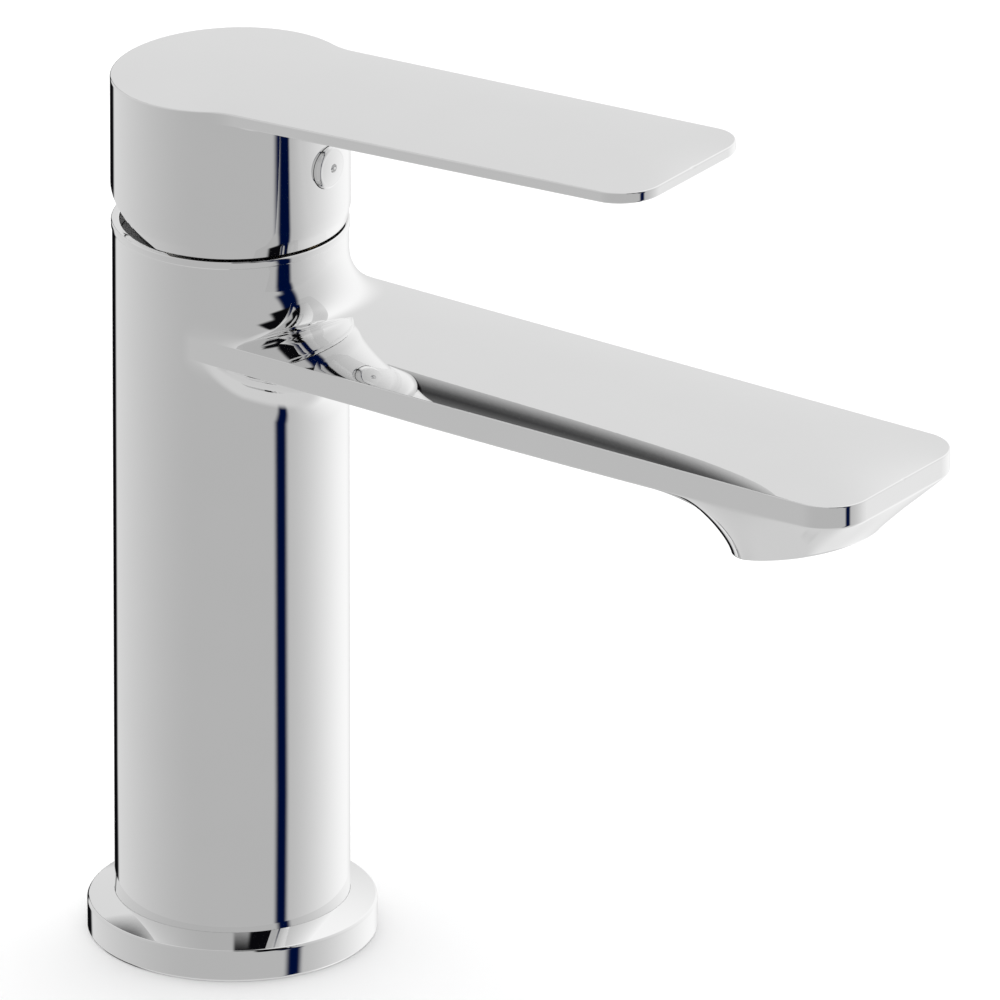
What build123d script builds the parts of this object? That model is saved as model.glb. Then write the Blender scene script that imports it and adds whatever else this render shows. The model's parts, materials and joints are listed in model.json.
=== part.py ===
from build123d import *
from math import cos, radians, sin
import os

# Single-lever basin mixer. Millimetres, +Z up, spout towards +X.
# The origin is the centre of the base on the face that rests on the basin.

os.makedirs("parts", exist_ok=True)

# ---- Driving dimensions -------------------------------------------------

BODY_RADIUS = 22.5
BODY_FOOT_Z = 3.0
RIM_RADIUS = 22.7
RIM_Z = 146.3
RIM_HEIGHT = 1.5

FLANGE_RADIUS = 27.7
FLANGE_EDGE_Z = 5.6
FLANGE_TOP_Z = 7.9

RECESS_RADIUS = 19.5
INLET_BLOCK_Z = 26.0
CHAMBER_Z = 46.0
CHAMBER_TOP_Z = 110.0
WEB_THICKNESS = 4.0

SPOUT_END_X = 155.6
SPOUT_ROOT_HALF = 22.0
SPOUT_END_HALF = 21.0
SPOUT_CORNER = 8.5
SPOUT_EDGE_Z = 130.6
SPOUT_CROWN = 4.0
SPOUT_WALL = 5.0
SPOUT_BELLY_Z = 121.2
SPOUT_BELLY_FILLET = 6.0
WATERWAY_HALF = 11.0
WATERWAY_Z = 123.3
WATERWAY_HEIGHT = 5.2
WATERWAY_END_X = 142.0

OUTLET_X = 133.6
OUTLET_Z = 113.9
OUTLET_TILT = 11.0
OUTLET_BORE_RADIUS = 12.0
OUTLET_BORE_DEPTH = 11.0

CARTRIDGE_FLOOR_Z = 118.0
CARTRIDGE_BORE_RADIUS = 17.8
CARTRIDGE_RADIUS = 17.5
CARTRIDGE_INNER_RADIUS = 16.2
BASE_TOP_Z = 127.0
FIXED_DISC_TOP_Z = 131.0
THREAD_RADIUS = 19.0
THREAD_Z = 133.5
HOUSING_TOP_Z = 140.2
NUT_TOP_Z = 142.0
RIM_RECESS_RADIUS = 21.1

CAP_RADIUS = 22.8
CAP_INNER_RADIUS = 20.3
CAP_WALL_Z = 149.5
CAP_LOW_Z = 146.8
CAP_LOW_RADIUS = 22.15
CAP_CEILING_Z = 172.5
LEVER_END_X = 107.2
LEVER_ROOT_HALF = 19.8
LEVER_END_HALF = 19.25
LEVER_CORNER = 8.0
LEVER_NECK_FILLET = 15.0
LEVER_SLOPE = 0.05
LEVER_EDGE_Z = 176.4
LEVER_CROWN = 3.0
LEVER_THICKNESS = 2.1
PLUG_Z = 162.0
PLUG_RADIUS = 4.2
PLUG_FRONT_X = 24.1

PIVOT_Z = 155.5
STEM_LEAN = 11.9
STEM_ARM = 18.2
STEM_REACH = 14.5
PIN_RADIUS = 1.5
PIN_CLEARANCE = 0.05
EAR_GAP_HALF = 5.4
EAR_OUTER = 9.4
SLIDE_GAP = 0.05

# Hot and cold ports in the cartridge, on both sides of the symmetry plane.
PORT_X = -6.0
PORT_Y = 7.0
PORT_RADIUS = 3.0
OUTLET_PORT_X = 8.0
OUTLET_PORT_RADIUS = 4.0

# ---- Shared planes and small helpers ------------------------------------

outlet_tilt = radians(OUTLET_TILT)
outlet_plane = Plane(
    origin=(OUTLET_X, 0, OUTLET_Z),
    x_dir=(cos(outlet_tilt), 0, sin(outlet_tilt)),
    z_dir=(-sin(outlet_tilt), 0, cos(outlet_tilt)),
)
stem_lean = radians(STEM_LEAN)
stem_plane = Plane(
    origin=(0, 0, PIVOT_Z),
    x_dir=(0, 1, 0),
    z_dir=(sin(stem_lean), 0, cos(stem_lean)),
)
port_places = [(PORT_X, PORT_Y), (PORT_X, -PORT_Y)]


def tube(plane, outer, inner, length):
    """A plain ring standing on a plane, in the part being built."""
    with BuildSketch(plane) as ring:
        Circle(outer)
        Circle(inner, mode=Mode.SUBTRACT)
    extrude(ring.sketch, amount=length)


def disc(plane, radius, length, mode=Mode.ADD):
    """A round disc or a round hole standing on a plane, in the part being built."""
    with BuildSketch(plane) as circle:
        Circle(radius)
    extrude(circle.sketch, amount=length, mode=mode)


def holes(plane, places, radius, length):
    """Round holes of one size at several places of a plane."""
    with BuildSketch(plane) as circles:
        with Locations(*places):
            Circle(radius)
    extrude(circles.sketch, amount=length, mode=Mode.SUBTRACT)


# ---- Base: flange and seal ----------------------------------------------

SEAL_INNER = 21.0
SEAL_OUTER = 25.0
SEAL_HEIGHT = 2.0
SEAL_PLAY = 0.2

with BuildPart() as base_flange:
    with BuildSketch(Plane.XZ):
        with BuildLine():
            Polyline(
                (RECESS_RADIUS, 0),
                (FLANGE_RADIUS, 0),
                (FLANGE_RADIUS, FLANGE_EDGE_Z),
                (FLANGE_RADIUS - 0.5, FLANGE_EDGE_Z + 0.9),
                (BODY_RADIUS + 0.1, FLANGE_TOP_Z),
                (BODY_RADIUS + 0.1, BODY_FOOT_Z),
                (RECESS_RADIUS, BODY_FOOT_Z),
                close=True,
            )
        make_face()
    revolve(axis=Axis.Z)
    with BuildSketch(Plane.XY):
        Circle(SEAL_OUTER + SEAL_PLAY)
        Circle(SEAL_INNER - SEAL_PLAY, mode=Mode.SUBTRACT)
    extrude(amount=SEAL_HEIGHT, mode=Mode.SUBTRACT)
base_flange.part.label = "base_flange"
export_step(base_flange.part, "parts/base_flange.step")

with BuildPart() as base_seal:
    tube(Plane.XY, SEAL_OUTER, SEAL_INNER, SEAL_HEIGHT)
base_seal.part.label = "base_seal"
export_step(base_seal.part, "parts/base_seal.step")

# ---- Body casting: column, spout and nozzle in one piece ----------------

with BuildPart() as spout_slab:
    # Seen from above: a long tongue with rounded front corners.
    with BuildSketch(Plane.XY.offset(SPOUT_BELLY_Z - 2)) as spout_plan:
        with BuildLine():
            Polyline(
                (0, -SPOUT_ROOT_HALF),
                (SPOUT_END_X, -SPOUT_END_HALF),
                (SPOUT_END_X, SPOUT_END_HALF),
                (0, SPOUT_ROOT_HALF),
                close=True,
            )
        make_face()
        fillet(spout_plan.vertices().group_by(Axis.X)[-1], radius=SPOUT_CORNER)
    extrude(amount=20)
    # Seen from the front: crowned top, low straight sides, rounded belly.
    with BuildSketch(Plane.YZ):
        with BuildLine():
            top = ThreePointArc(
                (-SPOUT_ROOT_HALF, SPOUT_EDGE_Z),
                (0, SPOUT_EDGE_Z + SPOUT_CROWN),
                (SPOUT_ROOT_HALF, SPOUT_EDGE_Z),
            )
            belly = ThreePointArc(
                (-SPOUT_ROOT_HALF, SPOUT_EDGE_Z - SPOUT_WALL),
                (0, SPOUT_BELLY_Z),
                (SPOUT_ROOT_HALF, SPOUT_EDGE_Z - SPOUT_WALL),
            )
            Line(top @ 0, belly @ 0)
            Line(top @ 1, belly @ 1)
        make_face()
    extrude(amount=SPOUT_END_X + 1, mode=Mode.INTERSECT)
    # Seen from the side: the top falls to the edge line at the nose.
    NOSE_FALL_X = 124.0
    with BuildSketch(Plane.XZ):
        with BuildLine():
            roof = SPOUT_EDGE_Z + SPOUT_CROWN
            nose = ThreePointArc(
                (NOSE_FALL_X, roof),
                (143.0, roof - 1.25),
                (SPOUT_END_X, SPOUT_EDGE_Z),
            )
            Polyline(
                nose @ 1,
                (SPOUT_END_X, SPOUT_EDGE_Z - 4.2),
                (105.0, SPOUT_BELLY_Z - 1),
                (0, SPOUT_BELLY_Z - 1),
                (0, roof),
                nose @ 0,
            )
        make_face()
    extrude(amount=SPOUT_ROOT_HALF + 1, both=True, mode=Mode.INTERSECT)

# Outline of the nozzle at its mouth and where it joins the spout.
NOZZLE_MOUTH = {"back": -13.2, "corner_x": -4.9, "corner_y": 15.8, "front": 14.6, "round": 3.0}
NOZZLE_ROOT = {"back": -19.0, "corner_x": -10.0, "corner_y": 20.2, "front": 21.0, "round": 4.0}
NOZZLE_ROOT_Z = 126.4


def nozzle_outline(plane, shape):
    """A sketch with a round front joined to a flatter back by two rounded corners."""
    with BuildSketch(plane) as outline:
        with BuildLine():
            ThreePointArc(
                (shape["corner_x"], -shape["corner_y"]),
                (shape["front"], 0),
                (shape["corner_x"], shape["corner_y"]),
            )
            ThreePointArc(
                (shape["corner_x"], shape["corner_y"]),
                (shape["back"], 0),
                (shape["corner_x"], -shape["corner_y"]),
            )
        make_face()
        fillet(outline.vertices(), radius=shape["round"])
    return outline.sketch


with BuildPart() as nozzle:
    mouth = nozzle_outline(outlet_plane, NOZZLE_MOUTH)
    root = nozzle_outline(Plane.XY.move(Location((OUTLET_X, 0, NOZZLE_ROOT_Z))), NOZZLE_ROOT)
    loft([mouth.face(), root.face()], ruled=True)

FLOOR_PEG_X = 6.0
FLOOR_PEG_Y = 10.0
FLOOR_PEG_RADIUS = 1.2
peg_places = [(FLOOR_PEG_X, FLOOR_PEG_Y), (FLOOR_PEG_X, -FLOOR_PEG_Y)]

with BuildPart() as body_casting:
    # Column with a slightly proud rounded lip at its top.
    with BuildSketch(Plane.XZ):
        with BuildLine():
            Polyline(
                (0, BODY_FOOT_Z),
                (BODY_RADIUS, BODY_FOOT_Z),
                (BODY_RADIUS, RIM_Z - RIM_HEIGHT),
                (RIM_RADIUS, RIM_Z - RIM_HEIGHT + 0.3),
                (RIM_RADIUS, RIM_Z - 0.5),
                (RIM_RADIUS - 0.5, RIM_Z),
                (0, RIM_Z),
                close=True,
            )
        make_face()
    revolve(axis=Axis.Z)
    add(spout_slab.part)
    add(nozzle.part)
    # The belly of the spout blends into the column.
    belly_joins = body_casting.edges().filter_by(
        lambda e: 121 < e.center().Z < 125 and all(abs(v.X**2 + v.Y**2 - BODY_RADIUS**2) < 1 for v in e.vertices())
    )
    fillet(belly_joins, radius=SPOUT_BELLY_FILLET)
    # Recess under the inlet block, then the hot and the cold chamber.
    disc(Plane.XY.offset(BODY_FOOT_Z), RECESS_RADIUS, CHAMBER_Z - BODY_FOOT_Z, Mode.SUBTRACT)
    with BuildSketch(Plane.XY.offset(CHAMBER_Z)):
        Circle(RECESS_RADIUS - 0.5)
        Rectangle(2 * RECESS_RADIUS, WEB_THICKNESS, mode=Mode.SUBTRACT)
    extrude(amount=CHAMBER_TOP_Z - CHAMBER_Z, mode=Mode.SUBTRACT)
    # Ports and peg holes in the cartridge floor.
    holes(Plane.XY.offset(CHAMBER_TOP_Z), port_places, PORT_RADIUS, 9)
    holes(Plane.XY.offset(CARTRIDGE_FLOOR_Z - 2.2), peg_places, FLOOR_PEG_RADIUS + 0.2, 3)
    # Stepped cartridge bore: chamber, thread and rim recess.
    disc(Plane.XY.offset(CARTRIDGE_FLOOR_Z), CARTRIDGE_BORE_RADIUS, 20, Mode.SUBTRACT)
    disc(Plane.XY.offset(THREAD_Z), THREAD_RADIUS, 20, Mode.SUBTRACT)
    disc(Plane.XY.offset(NUT_TOP_Z), RIM_RECESS_RADIUS, 20, Mode.SUBTRACT)
    # Waterway to the nozzle and the threaded bore of the aerator.
    with BuildSketch(Plane.XY.offset(WATERWAY_Z)):
        with Locations((WATERWAY_END_X / 2 + 7, 0)):
            Rectangle(WATERWAY_END_X - 14, 2 * WATERWAY_HALF)
    extrude(amount=WATERWAY_HEIGHT, mode=Mode.SUBTRACT)
    disc(outlet_plane.offset(-2), OUTLET_BORE_RADIUS, OUTLET_BORE_DEPTH + 2, Mode.SUBTRACT)
body_casting.part.label = "body_casting"
export_step(body_casting.part, "parts/body_casting.step")

# ---- Inlet block: two hose inlets and the fixing stud hole --------------

INLET_PLACES = [(5.0, 7.5), (5.0, -7.5)]
INLET_RADIUS = 4.5
INLET_DEPTH = 12.0
STUD_PLACE = (-9.5, 0.0)
STUD_RADIUS = 3.4
STUD_DEPTH = 15.0

with BuildPart() as inlet_block:
    disc(Plane.XY.offset(INLET_BLOCK_Z), RECESS_RADIUS - 0.02, CHAMBER_Z - INLET_BLOCK_Z)
    holes(Plane.XY.offset(INLET_BLOCK_Z), INLET_PLACES, INLET_RADIUS, INLET_DEPTH)
    holes(Plane.XY.offset(INLET_BLOCK_Z), INLET_PLACES, INLET_RADIUS - 1.5, 30)
    holes(Plane.XY.offset(INLET_BLOCK_Z), [STUD_PLACE], STUD_RADIUS, STUD_DEPTH)
inlet_block.part.label = "inlet_block"
export_step(inlet_block.part, "parts/inlet_block.step")

# ---- Cartridge: base, seals, ceramic discs, housing, nut ----------------

BASE_RADIUS = 17.3
BASE_Z = 118.2
PORT_SEAL_OUTER = 4.5
PORT_SEAL_HEIGHT = 1.4
DISC_SEAL_HEIGHT = 1.2
WINDOW_Z = 121.0
WINDOW_HEIGHT = 4.6
WINDOW_HALF = 6.0

with BuildPart() as cartridge_base:
    disc(Plane.XY.offset(BASE_Z), BASE_RADIUS, BASE_TOP_Z - BASE_Z)
    holes(Plane.XY.offset(BASE_Z), port_places, PORT_RADIUS, 20)
    seal_seat = CARTRIDGE_FLOOR_Z + PORT_SEAL_HEIGHT - BASE_Z
    holes(Plane.XY.offset(BASE_Z), port_places, PORT_SEAL_OUTER, seal_seat)
    holes(Plane.XY.offset(BASE_TOP_Z - DISC_SEAL_HEIGHT), port_places, PORT_SEAL_OUTER, 5)
    # The mixed water leaves through a pocket and a side window.
    holes(Plane.XY.offset(WINDOW_Z), [(OUTLET_PORT_X, 0)], OUTLET_PORT_RADIUS, 20)
    with BuildSketch(Plane.XY.offset(WINDOW_Z)):
        with Locations((OUTLET_PORT_X + BASE_RADIUS / 2, 0)):
            Rectangle(BASE_RADIUS, 2 * WINDOW_HALF)
    extrude(amount=WINDOW_HEIGHT, mode=Mode.SUBTRACT)
    with BuildSketch(Plane.XY.offset(CARTRIDGE_FLOOR_Z - 2)):
        with Locations(*peg_places):
            Circle(FLOOR_PEG_RADIUS)
    extrude(amount=BASE_Z + 2 - CARTRIDGE_FLOOR_Z)
cartridge_base.part.label = "cartridge_base"
export_step(cartridge_base.part, "parts/cartridge_base.step")


def ring_group(low_z, height):
    """Two rubber rings around the hot and the cold port."""
    with BuildSketch(Plane.XY.offset(low_z)) as rings:
        with Locations(*port_places):
            Circle(PORT_SEAL_OUTER)
            Circle(PORT_RADIUS + 0.1, mode=Mode.SUBTRACT)
    extrude(rings.sketch, amount=height)


with BuildPart() as port_seals:
    ring_group(CARTRIDGE_FLOOR_Z, PORT_SEAL_HEIGHT)
port_seals.part.label = "port_seals"
export_step(port_seals.part, "parts/port_seals.step")

with BuildPart() as disc_seals:
    ring_group(BASE_TOP_Z - DISC_SEAL_HEIGHT, DISC_SEAL_HEIGHT)
disc_seals.part.label = "disc_seals"
export_step(disc_seals.part, "parts/disc_seals.step")

with BuildPart() as fixed_ceramic_disc:
    disc(Plane.XY.offset(BASE_TOP_Z), CARTRIDGE_INNER_RADIUS - 0.2, FIXED_DISC_TOP_Z - BASE_TOP_Z)
    holes(Plane.XY.offset(BASE_TOP_Z), port_places, PORT_RADIUS, 10)
    holes(Plane.XY.offset(BASE_TOP_Z), [(OUTLET_PORT_X, 0)], OUTLET_PORT_RADIUS, 10)
fixed_ceramic_disc.part.label = "fixed_ceramic_disc"
export_step(fixed_ceramic_disc.part, "parts/fixed_ceramic_disc.step")

HOUSING_ROOF = 1.4
NECK_RADIUS = 10.5
NECK_GAP = 0.3
O_RING_Z = 129.4
O_RING_HEIGHT = 2.0
O_RING_SEAT = 0.7

with BuildPart() as cartridge_housing:
    tube(
        Plane.XY.offset(BASE_TOP_Z),
        CARTRIDGE_RADIUS,
        CARTRIDGE_INNER_RADIUS,
        HOUSING_TOP_Z - BASE_TOP_Z,
    )
    tube(
        Plane.XY.offset(HOUSING_TOP_Z - HOUSING_ROOF),
        CARTRIDGE_RADIUS,
        NECK_RADIUS + NECK_GAP,
        HOUSING_ROOF,
    )
    with BuildSketch(Plane.XY.offset(O_RING_Z)):
        Circle(CARTRIDGE_RADIUS + 1)
        Circle(CARTRIDGE_RADIUS - O_RING_SEAT, mode=Mode.SUBTRACT)
    extrude(amount=O_RING_HEIGHT, mode=Mode.SUBTRACT)
cartridge_housing.part.label = "cartridge_housing"
export_step(cartridge_housing.part, "parts/cartridge_housing.step")

with BuildPart() as housing_seal:
    tube(
        Plane.XY.offset(O_RING_Z),
        CARTRIDGE_BORE_RADIUS,
        CARTRIDGE_RADIUS - O_RING_SEAT,
        O_RING_HEIGHT,
    )
housing_seal.part.label = "housing_seal"
export_step(housing_seal.part, "parts/housing_seal.step")

NUT_LIP_RADIUS = 14.8
NUT_SKIRT_Z = 134.0
NUT_KEY_COUNT = 8
NUT_KEY_SIZE = 1.6

with BuildPart() as cartridge_nut:
    tube(Plane.XY.offset(NUT_SKIRT_Z), THREAD_RADIUS, CARTRIDGE_RADIUS, NUT_TOP_Z - NUT_SKIRT_Z)
    tube(Plane.XY.offset(HOUSING_TOP_Z), THREAD_RADIUS, NUT_LIP_RADIUS, NUT_TOP_Z - HOUSING_TOP_Z)
    # Key notches for the fitting tool.
    with BuildSketch(Plane.XY.offset(HOUSING_TOP_Z)):
        with PolarLocations(NUT_LIP_RADIUS, NUT_KEY_COUNT):
            Rectangle(NUT_KEY_SIZE * 2, NUT_KEY_SIZE * 2)
    extrude(amount=3, mode=Mode.SUBTRACT)
cartridge_nut.part.label = "cartridge_nut"
export_step(cartridge_nut.part, "parts/cartridge_nut.step")

GLIDE_THICKNESS = 0.7
GLIDE_INNER = 16.8

with BuildPart() as glide_ring:
    tube(Plane.XY.offset(NUT_TOP_Z), RIM_RECESS_RADIUS - 0.1, GLIDE_INNER, GLIDE_THICKNESS)
glide_ring.part.label = "glide_ring"
export_step(glide_ring.part, "parts/glide_ring.step")

# ---- Moving disc and its carrier, at the closed end of their travel -----

closed_x = -STEM_ARM * sin(stem_lean)
DISC_RADIUS = 11.3
DISC_TOP_Z = 134.5
CARRIER_TOP_Z = 136.6
CARRIER_BOSS_TOP_Z = 139.4
CARRIER_BOSS_HALF = 4.5
BALL_RADIUS = 2.4
BALL_PLAY = 0.15

with BuildPart() as moving_ceramic_disc:
    low = Plane.XY.offset(FIXED_DISC_TOP_Z + SLIDE_GAP).move(Location((closed_x, 0, 0)))
    disc(low, DISC_RADIUS, DISC_TOP_Z - FIXED_DISC_TOP_Z - SLIDE_GAP)
    # Mixing pocket in the underside.
    with BuildSketch(low):
        with Locations((1.6, 0)):
            SlotCenterToCenter(7.0, 8.0)
    extrude(amount=1.6, mode=Mode.SUBTRACT)
moving_ceramic_disc.part.label = "moving_ceramic_disc"
export_step(moving_ceramic_disc.part, "parts/moving_ceramic_disc.step")

with BuildPart() as disc_carrier:
    low = Plane.XY.offset(DISC_TOP_Z).move(Location((closed_x, 0, 0)))
    disc(low, DISC_RADIUS, CARRIER_TOP_Z - DISC_TOP_Z)
    with BuildSketch(low):
        Rectangle(2 * CARRIER_BOSS_HALF, 2 * CARRIER_BOSS_HALF)
    extrude(amount=CARRIER_BOSS_TOP_Z - DISC_TOP_Z)
    # Socket for the ball at the foot of the stem.
    with BuildSketch(low):
        Rectangle(2 * (BALL_RADIUS + BALL_PLAY), 2 * (BALL_RADIUS + BALL_PLAY))
    extrude(amount=10, mode=Mode.SUBTRACT)
disc_carrier.part.label = "disc_carrier"
export_step(disc_carrier.part, "parts/disc_carrier.step")

# ---- Turret with two ears, and the hinge pin of the stem ----------------

TURRET_FLANGE_Z = 136.9
TURRET_FLANGE_RADIUS = 15.9
TURRET_FLANGE_TOP_Z = 138.6
NECK_TOP_Z = 143.0
TURRET_SLOT_HALF = 4.8
TURRET_SLOT_REACH = 9.3
EAR_HALF_WIDTH = 4.4
EAR_TOP_Z = 158.4

with BuildPart() as cartridge_turret:
    disc(
        Plane.XY.offset(TURRET_FLANGE_Z),
        TURRET_FLANGE_RADIUS,
        TURRET_FLANGE_TOP_Z - TURRET_FLANGE_Z,
    )
    disc(Plane.XY.offset(TURRET_FLANGE_Z), NECK_RADIUS, NECK_TOP_Z - TURRET_FLANGE_Z)
    with BuildSketch(Plane.XY.offset(TURRET_FLANGE_Z)):
        Rectangle(2 * TURRET_SLOT_REACH, 2 * TURRET_SLOT_HALF)
    extrude(amount=20, mode=Mode.SUBTRACT)
    # Two ears with rounded tops.
    for side in (1, -1):
        with BuildSketch(Plane.XZ.offset(-side * EAR_GAP_HALF)) as ear:
            with Locations((0, (EAR_TOP_Z + TURRET_FLANGE_TOP_Z) / 2)):
                Rectangle(2 * EAR_HALF_WIDTH, EAR_TOP_Z - TURRET_FLANGE_TOP_Z)
            fillet(ear.vertices().group_by(Axis.Z)[-1], radius=2.6)
        extrude(amount=-side * (EAR_OUTER - EAR_GAP_HALF))
    with BuildSketch(Plane.XZ.offset(-EAR_OUTER - 1)):
        with Locations((0, PIVOT_Z)):
            Circle(PIN_RADIUS)
    extrude(amount=2 * EAR_OUTER + 2, mode=Mode.SUBTRACT)
cartridge_turret.part.label = "cartridge_turret"
export_step(cartridge_turret.part, "parts/cartridge_turret.step")

with BuildPart() as stem_pin:
    with BuildSketch(Plane.XZ.offset(-EAR_OUTER)):
        with Locations((0, PIVOT_Z)):
            Circle(PIN_RADIUS)
    extrude(amount=2 * EAR_OUTER)
stem_pin.part.label = "stem_pin"
export_step(stem_pin.part, "parts/stem_pin.step")

# ---- Stem: square top for the handle, shank and ball for the carrier ----

STEM_HALF_X = 3.5
STEM_HALF_Y = 3.6
STEM_SQUARE_LOW = -3.2
SHANK_RADIUS = 2.0

with BuildPart() as lever_stem:
    with BuildSketch(stem_plane.offset(STEM_SQUARE_LOW)):
        Rectangle(2 * STEM_HALF_Y, 2 * STEM_HALF_X)
    extrude(amount=STEM_REACH - STEM_SQUARE_LOW)
    disc(stem_plane.offset(-STEM_ARM), SHANK_RADIUS, STEM_ARM)
    with Locations(stem_plane.offset(-STEM_ARM).location):
        Sphere(BALL_RADIUS)
    with BuildSketch(Plane.XZ.offset(-EAR_OUTER)):
        with Locations((0, PIVOT_Z)):
            Circle(PIN_RADIUS + PIN_CLEARANCE)
    extrude(amount=2 * EAR_OUTER, mode=Mode.SUBTRACT)
lever_stem.part.label = "lever_stem"
export_step(lever_stem.part, "parts/lever_stem.step")

# ---- Handle: round cap and flat lever in one casting --------------------

BOSS_BACK_X = -8.5
BOSS_FRONT_X = 20.6
BOSS_HALF = 5.0
BOSS_LOW_Z = 157.6
SCREW_RADIUS = 2.5
SCREW_END_X = 12.0
PLUG_SEAT_X = 18.8
RELIEF_CENTRE_X = 2.5
RELIEF_CENTRE_Z = 164.5
RELIEF_RADIUS = 26.3

with BuildPart() as skirt_relief:
    # What lies outside a sphere around the pivot, below the sphere's centre.
    disc(Plane.XY.offset(RELIEF_CENTRE_Z - 30), 40, 30)
    with Locations((RELIEF_CENTRE_X, 0, RELIEF_CENTRE_Z)):
        Sphere(RELIEF_RADIUS, mode=Mode.SUBTRACT)

with BuildPart() as lever_blade:
    with BuildSketch(Plane.XY.offset(CAP_CEILING_Z - 3)) as blade_plan:
        with BuildLine():
            Polyline(
                (0, -LEVER_ROOT_HALF),
                (LEVER_END_X, -LEVER_END_HALF),
                (LEVER_END_X, LEVER_END_HALF),
                (0, LEVER_ROOT_HALF),
                close=True,
            )
        make_face()
        fillet(blade_plan.vertices().group_by(Axis.X)[-1], radius=LEVER_CORNER)
        Circle(CAP_RADIUS)
        necks = blade_plan.vertices().filter_by(lambda v: 5 < v.X < 20)
        fillet(necks, radius=LEVER_NECK_FILLET)
    extrude(amount=25)
    # Crowned section carried along the slope of the lever.
    BACK_X = -CAP_RADIUS
    back_z = LEVER_EDGE_Z + LEVER_SLOPE * BACK_X
    with BuildSketch(Plane.YZ.offset(BACK_X - 1)):
        with BuildLine():
            arch = ThreePointArc(
                (-CAP_RADIUS - 1, back_z - 0.6),
                (0, back_z + LEVER_CROWN),
                (CAP_RADIUS + 1, back_z - 0.6),
            )
            Polyline(
                arch @ 1,
                (CAP_RADIUS + 1, back_z - LEVER_THICKNESS),
                (-CAP_RADIUS - 1, back_z - LEVER_THICKNESS),
                arch @ 0,
            )
        make_face()
    extrude(amount=LEVER_END_X + CAP_RADIUS + 4, dir=(1, 0, LEVER_SLOPE), mode=Mode.INTERSECT)
    # The top falls to the edge at the back of the cap and at the lever's end.
    with BuildSketch(Plane.XZ):
        with BuildLine():
            end_z = LEVER_EDGE_Z + LEVER_SLOPE * LEVER_END_X
            rise = ThreePointArc(
                (-CAP_RADIUS, back_z),
                (-12.0, LEVER_EDGE_Z + 2.0),
                (2.0, LEVER_EDGE_Z + LEVER_CROWN + 0.1),
            )
            fall = ThreePointArc(
                (80.0, LEVER_EDGE_Z + LEVER_SLOPE * 80.0 + LEVER_CROWN),
                (96.0, end_z + 1.6),
                (LEVER_END_X, end_z),
            )
            Line(rise @ 1, fall @ 0)
            Polyline(
                fall @ 1,
                (LEVER_END_X, end_z - LEVER_THICKNESS - 1),
                (-CAP_RADIUS, back_z - LEVER_THICKNESS - 1),
                rise @ 0,
            )
        make_face()
    extrude(amount=CAP_RADIUS + 2, both=True, mode=Mode.INTERSECT)

with BuildPart() as handle:
    cap_join_z = back_z - LEVER_THICKNESS
    disc(Plane.XY.offset(CAP_WALL_Z), CAP_RADIUS, cap_join_z + 0.5 - CAP_WALL_Z)
    with Locations((0, 0, CAP_LOW_Z)):
        Cone(
            CAP_LOW_RADIUS,
            CAP_RADIUS - 0.05,
            CAP_WALL_Z - CAP_LOW_Z,
            align=(Align.CENTER, Align.CENTER, Align.MIN),
        )
    add(skirt_relief.part, mode=Mode.SUBTRACT)
    add(lever_blade.part)
    disc(Plane.XY.offset(CAP_LOW_Z - 1), CAP_INNER_RADIUS, CAP_CEILING_Z - CAP_LOW_Z + 1, Mode.SUBTRACT)
    # Boss under the ceiling that grips the stem and carries the screw.
    with BuildSketch(Plane.XY.offset(BOSS_LOW_Z)):
        with Locations(((BOSS_BACK_X + BOSS_FRONT_X) / 2, 0)):
            Rectangle(BOSS_FRONT_X - BOSS_BACK_X, 2 * BOSS_HALF)
    extrude(amount=CAP_CEILING_Z + 0.5 - BOSS_LOW_Z)
    with BuildSketch(stem_plane.offset(-4)):
        Rectangle(2 * STEM_HALF_Y + 0.1, 2 * STEM_HALF_X + 0.1)
    extrude(amount=STEM_REACH + 4.1, mode=Mode.SUBTRACT)
    with BuildSketch(Plane.YZ):
        with Locations((0, PLUG_Z)):
            Circle(SCREW_RADIUS)
    extrude(amount=PLUG_SEAT_X + 1, mode=Mode.SUBTRACT)
    with BuildSketch(Plane.YZ.offset(PLUG_SEAT_X)):
        with Locations((0, PLUG_Z)):
            Circle(PLUG_RADIUS + 0.15)
    extrude(amount=10, mode=Mode.SUBTRACT)
handle.part.label = "handle"
export_step(handle.part, "parts/handle.step")

PLUG_ROUNDING = 0.8
DIMPLE_RADIUS = 0.9
DIMPLE_DEPTH = 0.6

# The screw's tip rests on the front face of the leaning stem.
screw_tip_x = (PLUG_Z - PIVOT_Z) * sin(stem_lean) / cos(stem_lean) + STEM_HALF_X / cos(stem_lean)
SCREW_TIP_RADIUS = 1.4
SCREW_SOCKET_RADIUS = 1.3

with BuildPart() as grub_screw:
    with BuildSketch(Plane.XZ) as screw_profile:
        with BuildLine():
            Polyline(
                (screw_tip_x + 0.35, 0),
                (screw_tip_x + 0.35, SCREW_TIP_RADIUS),
                (screw_tip_x + 1.4, SCREW_RADIUS - 0.05),
                (SCREW_END_X, SCREW_RADIUS - 0.05),
                (SCREW_END_X, 0),
                close=True,
            )
        make_face()
    revolve(axis=Axis.X)
    with BuildSketch(Plane.YZ.offset(SCREW_END_X - 3)):
        RegularPolygon(SCREW_SOCKET_RADIUS, 6)
    extrude(amount=4, mode=Mode.SUBTRACT)
grub_screw.part.position = (0, 0, PLUG_Z)
grub_screw.part.label = "grub_screw"
export_step(grub_screw.part, "parts/grub_screw.step")

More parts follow.
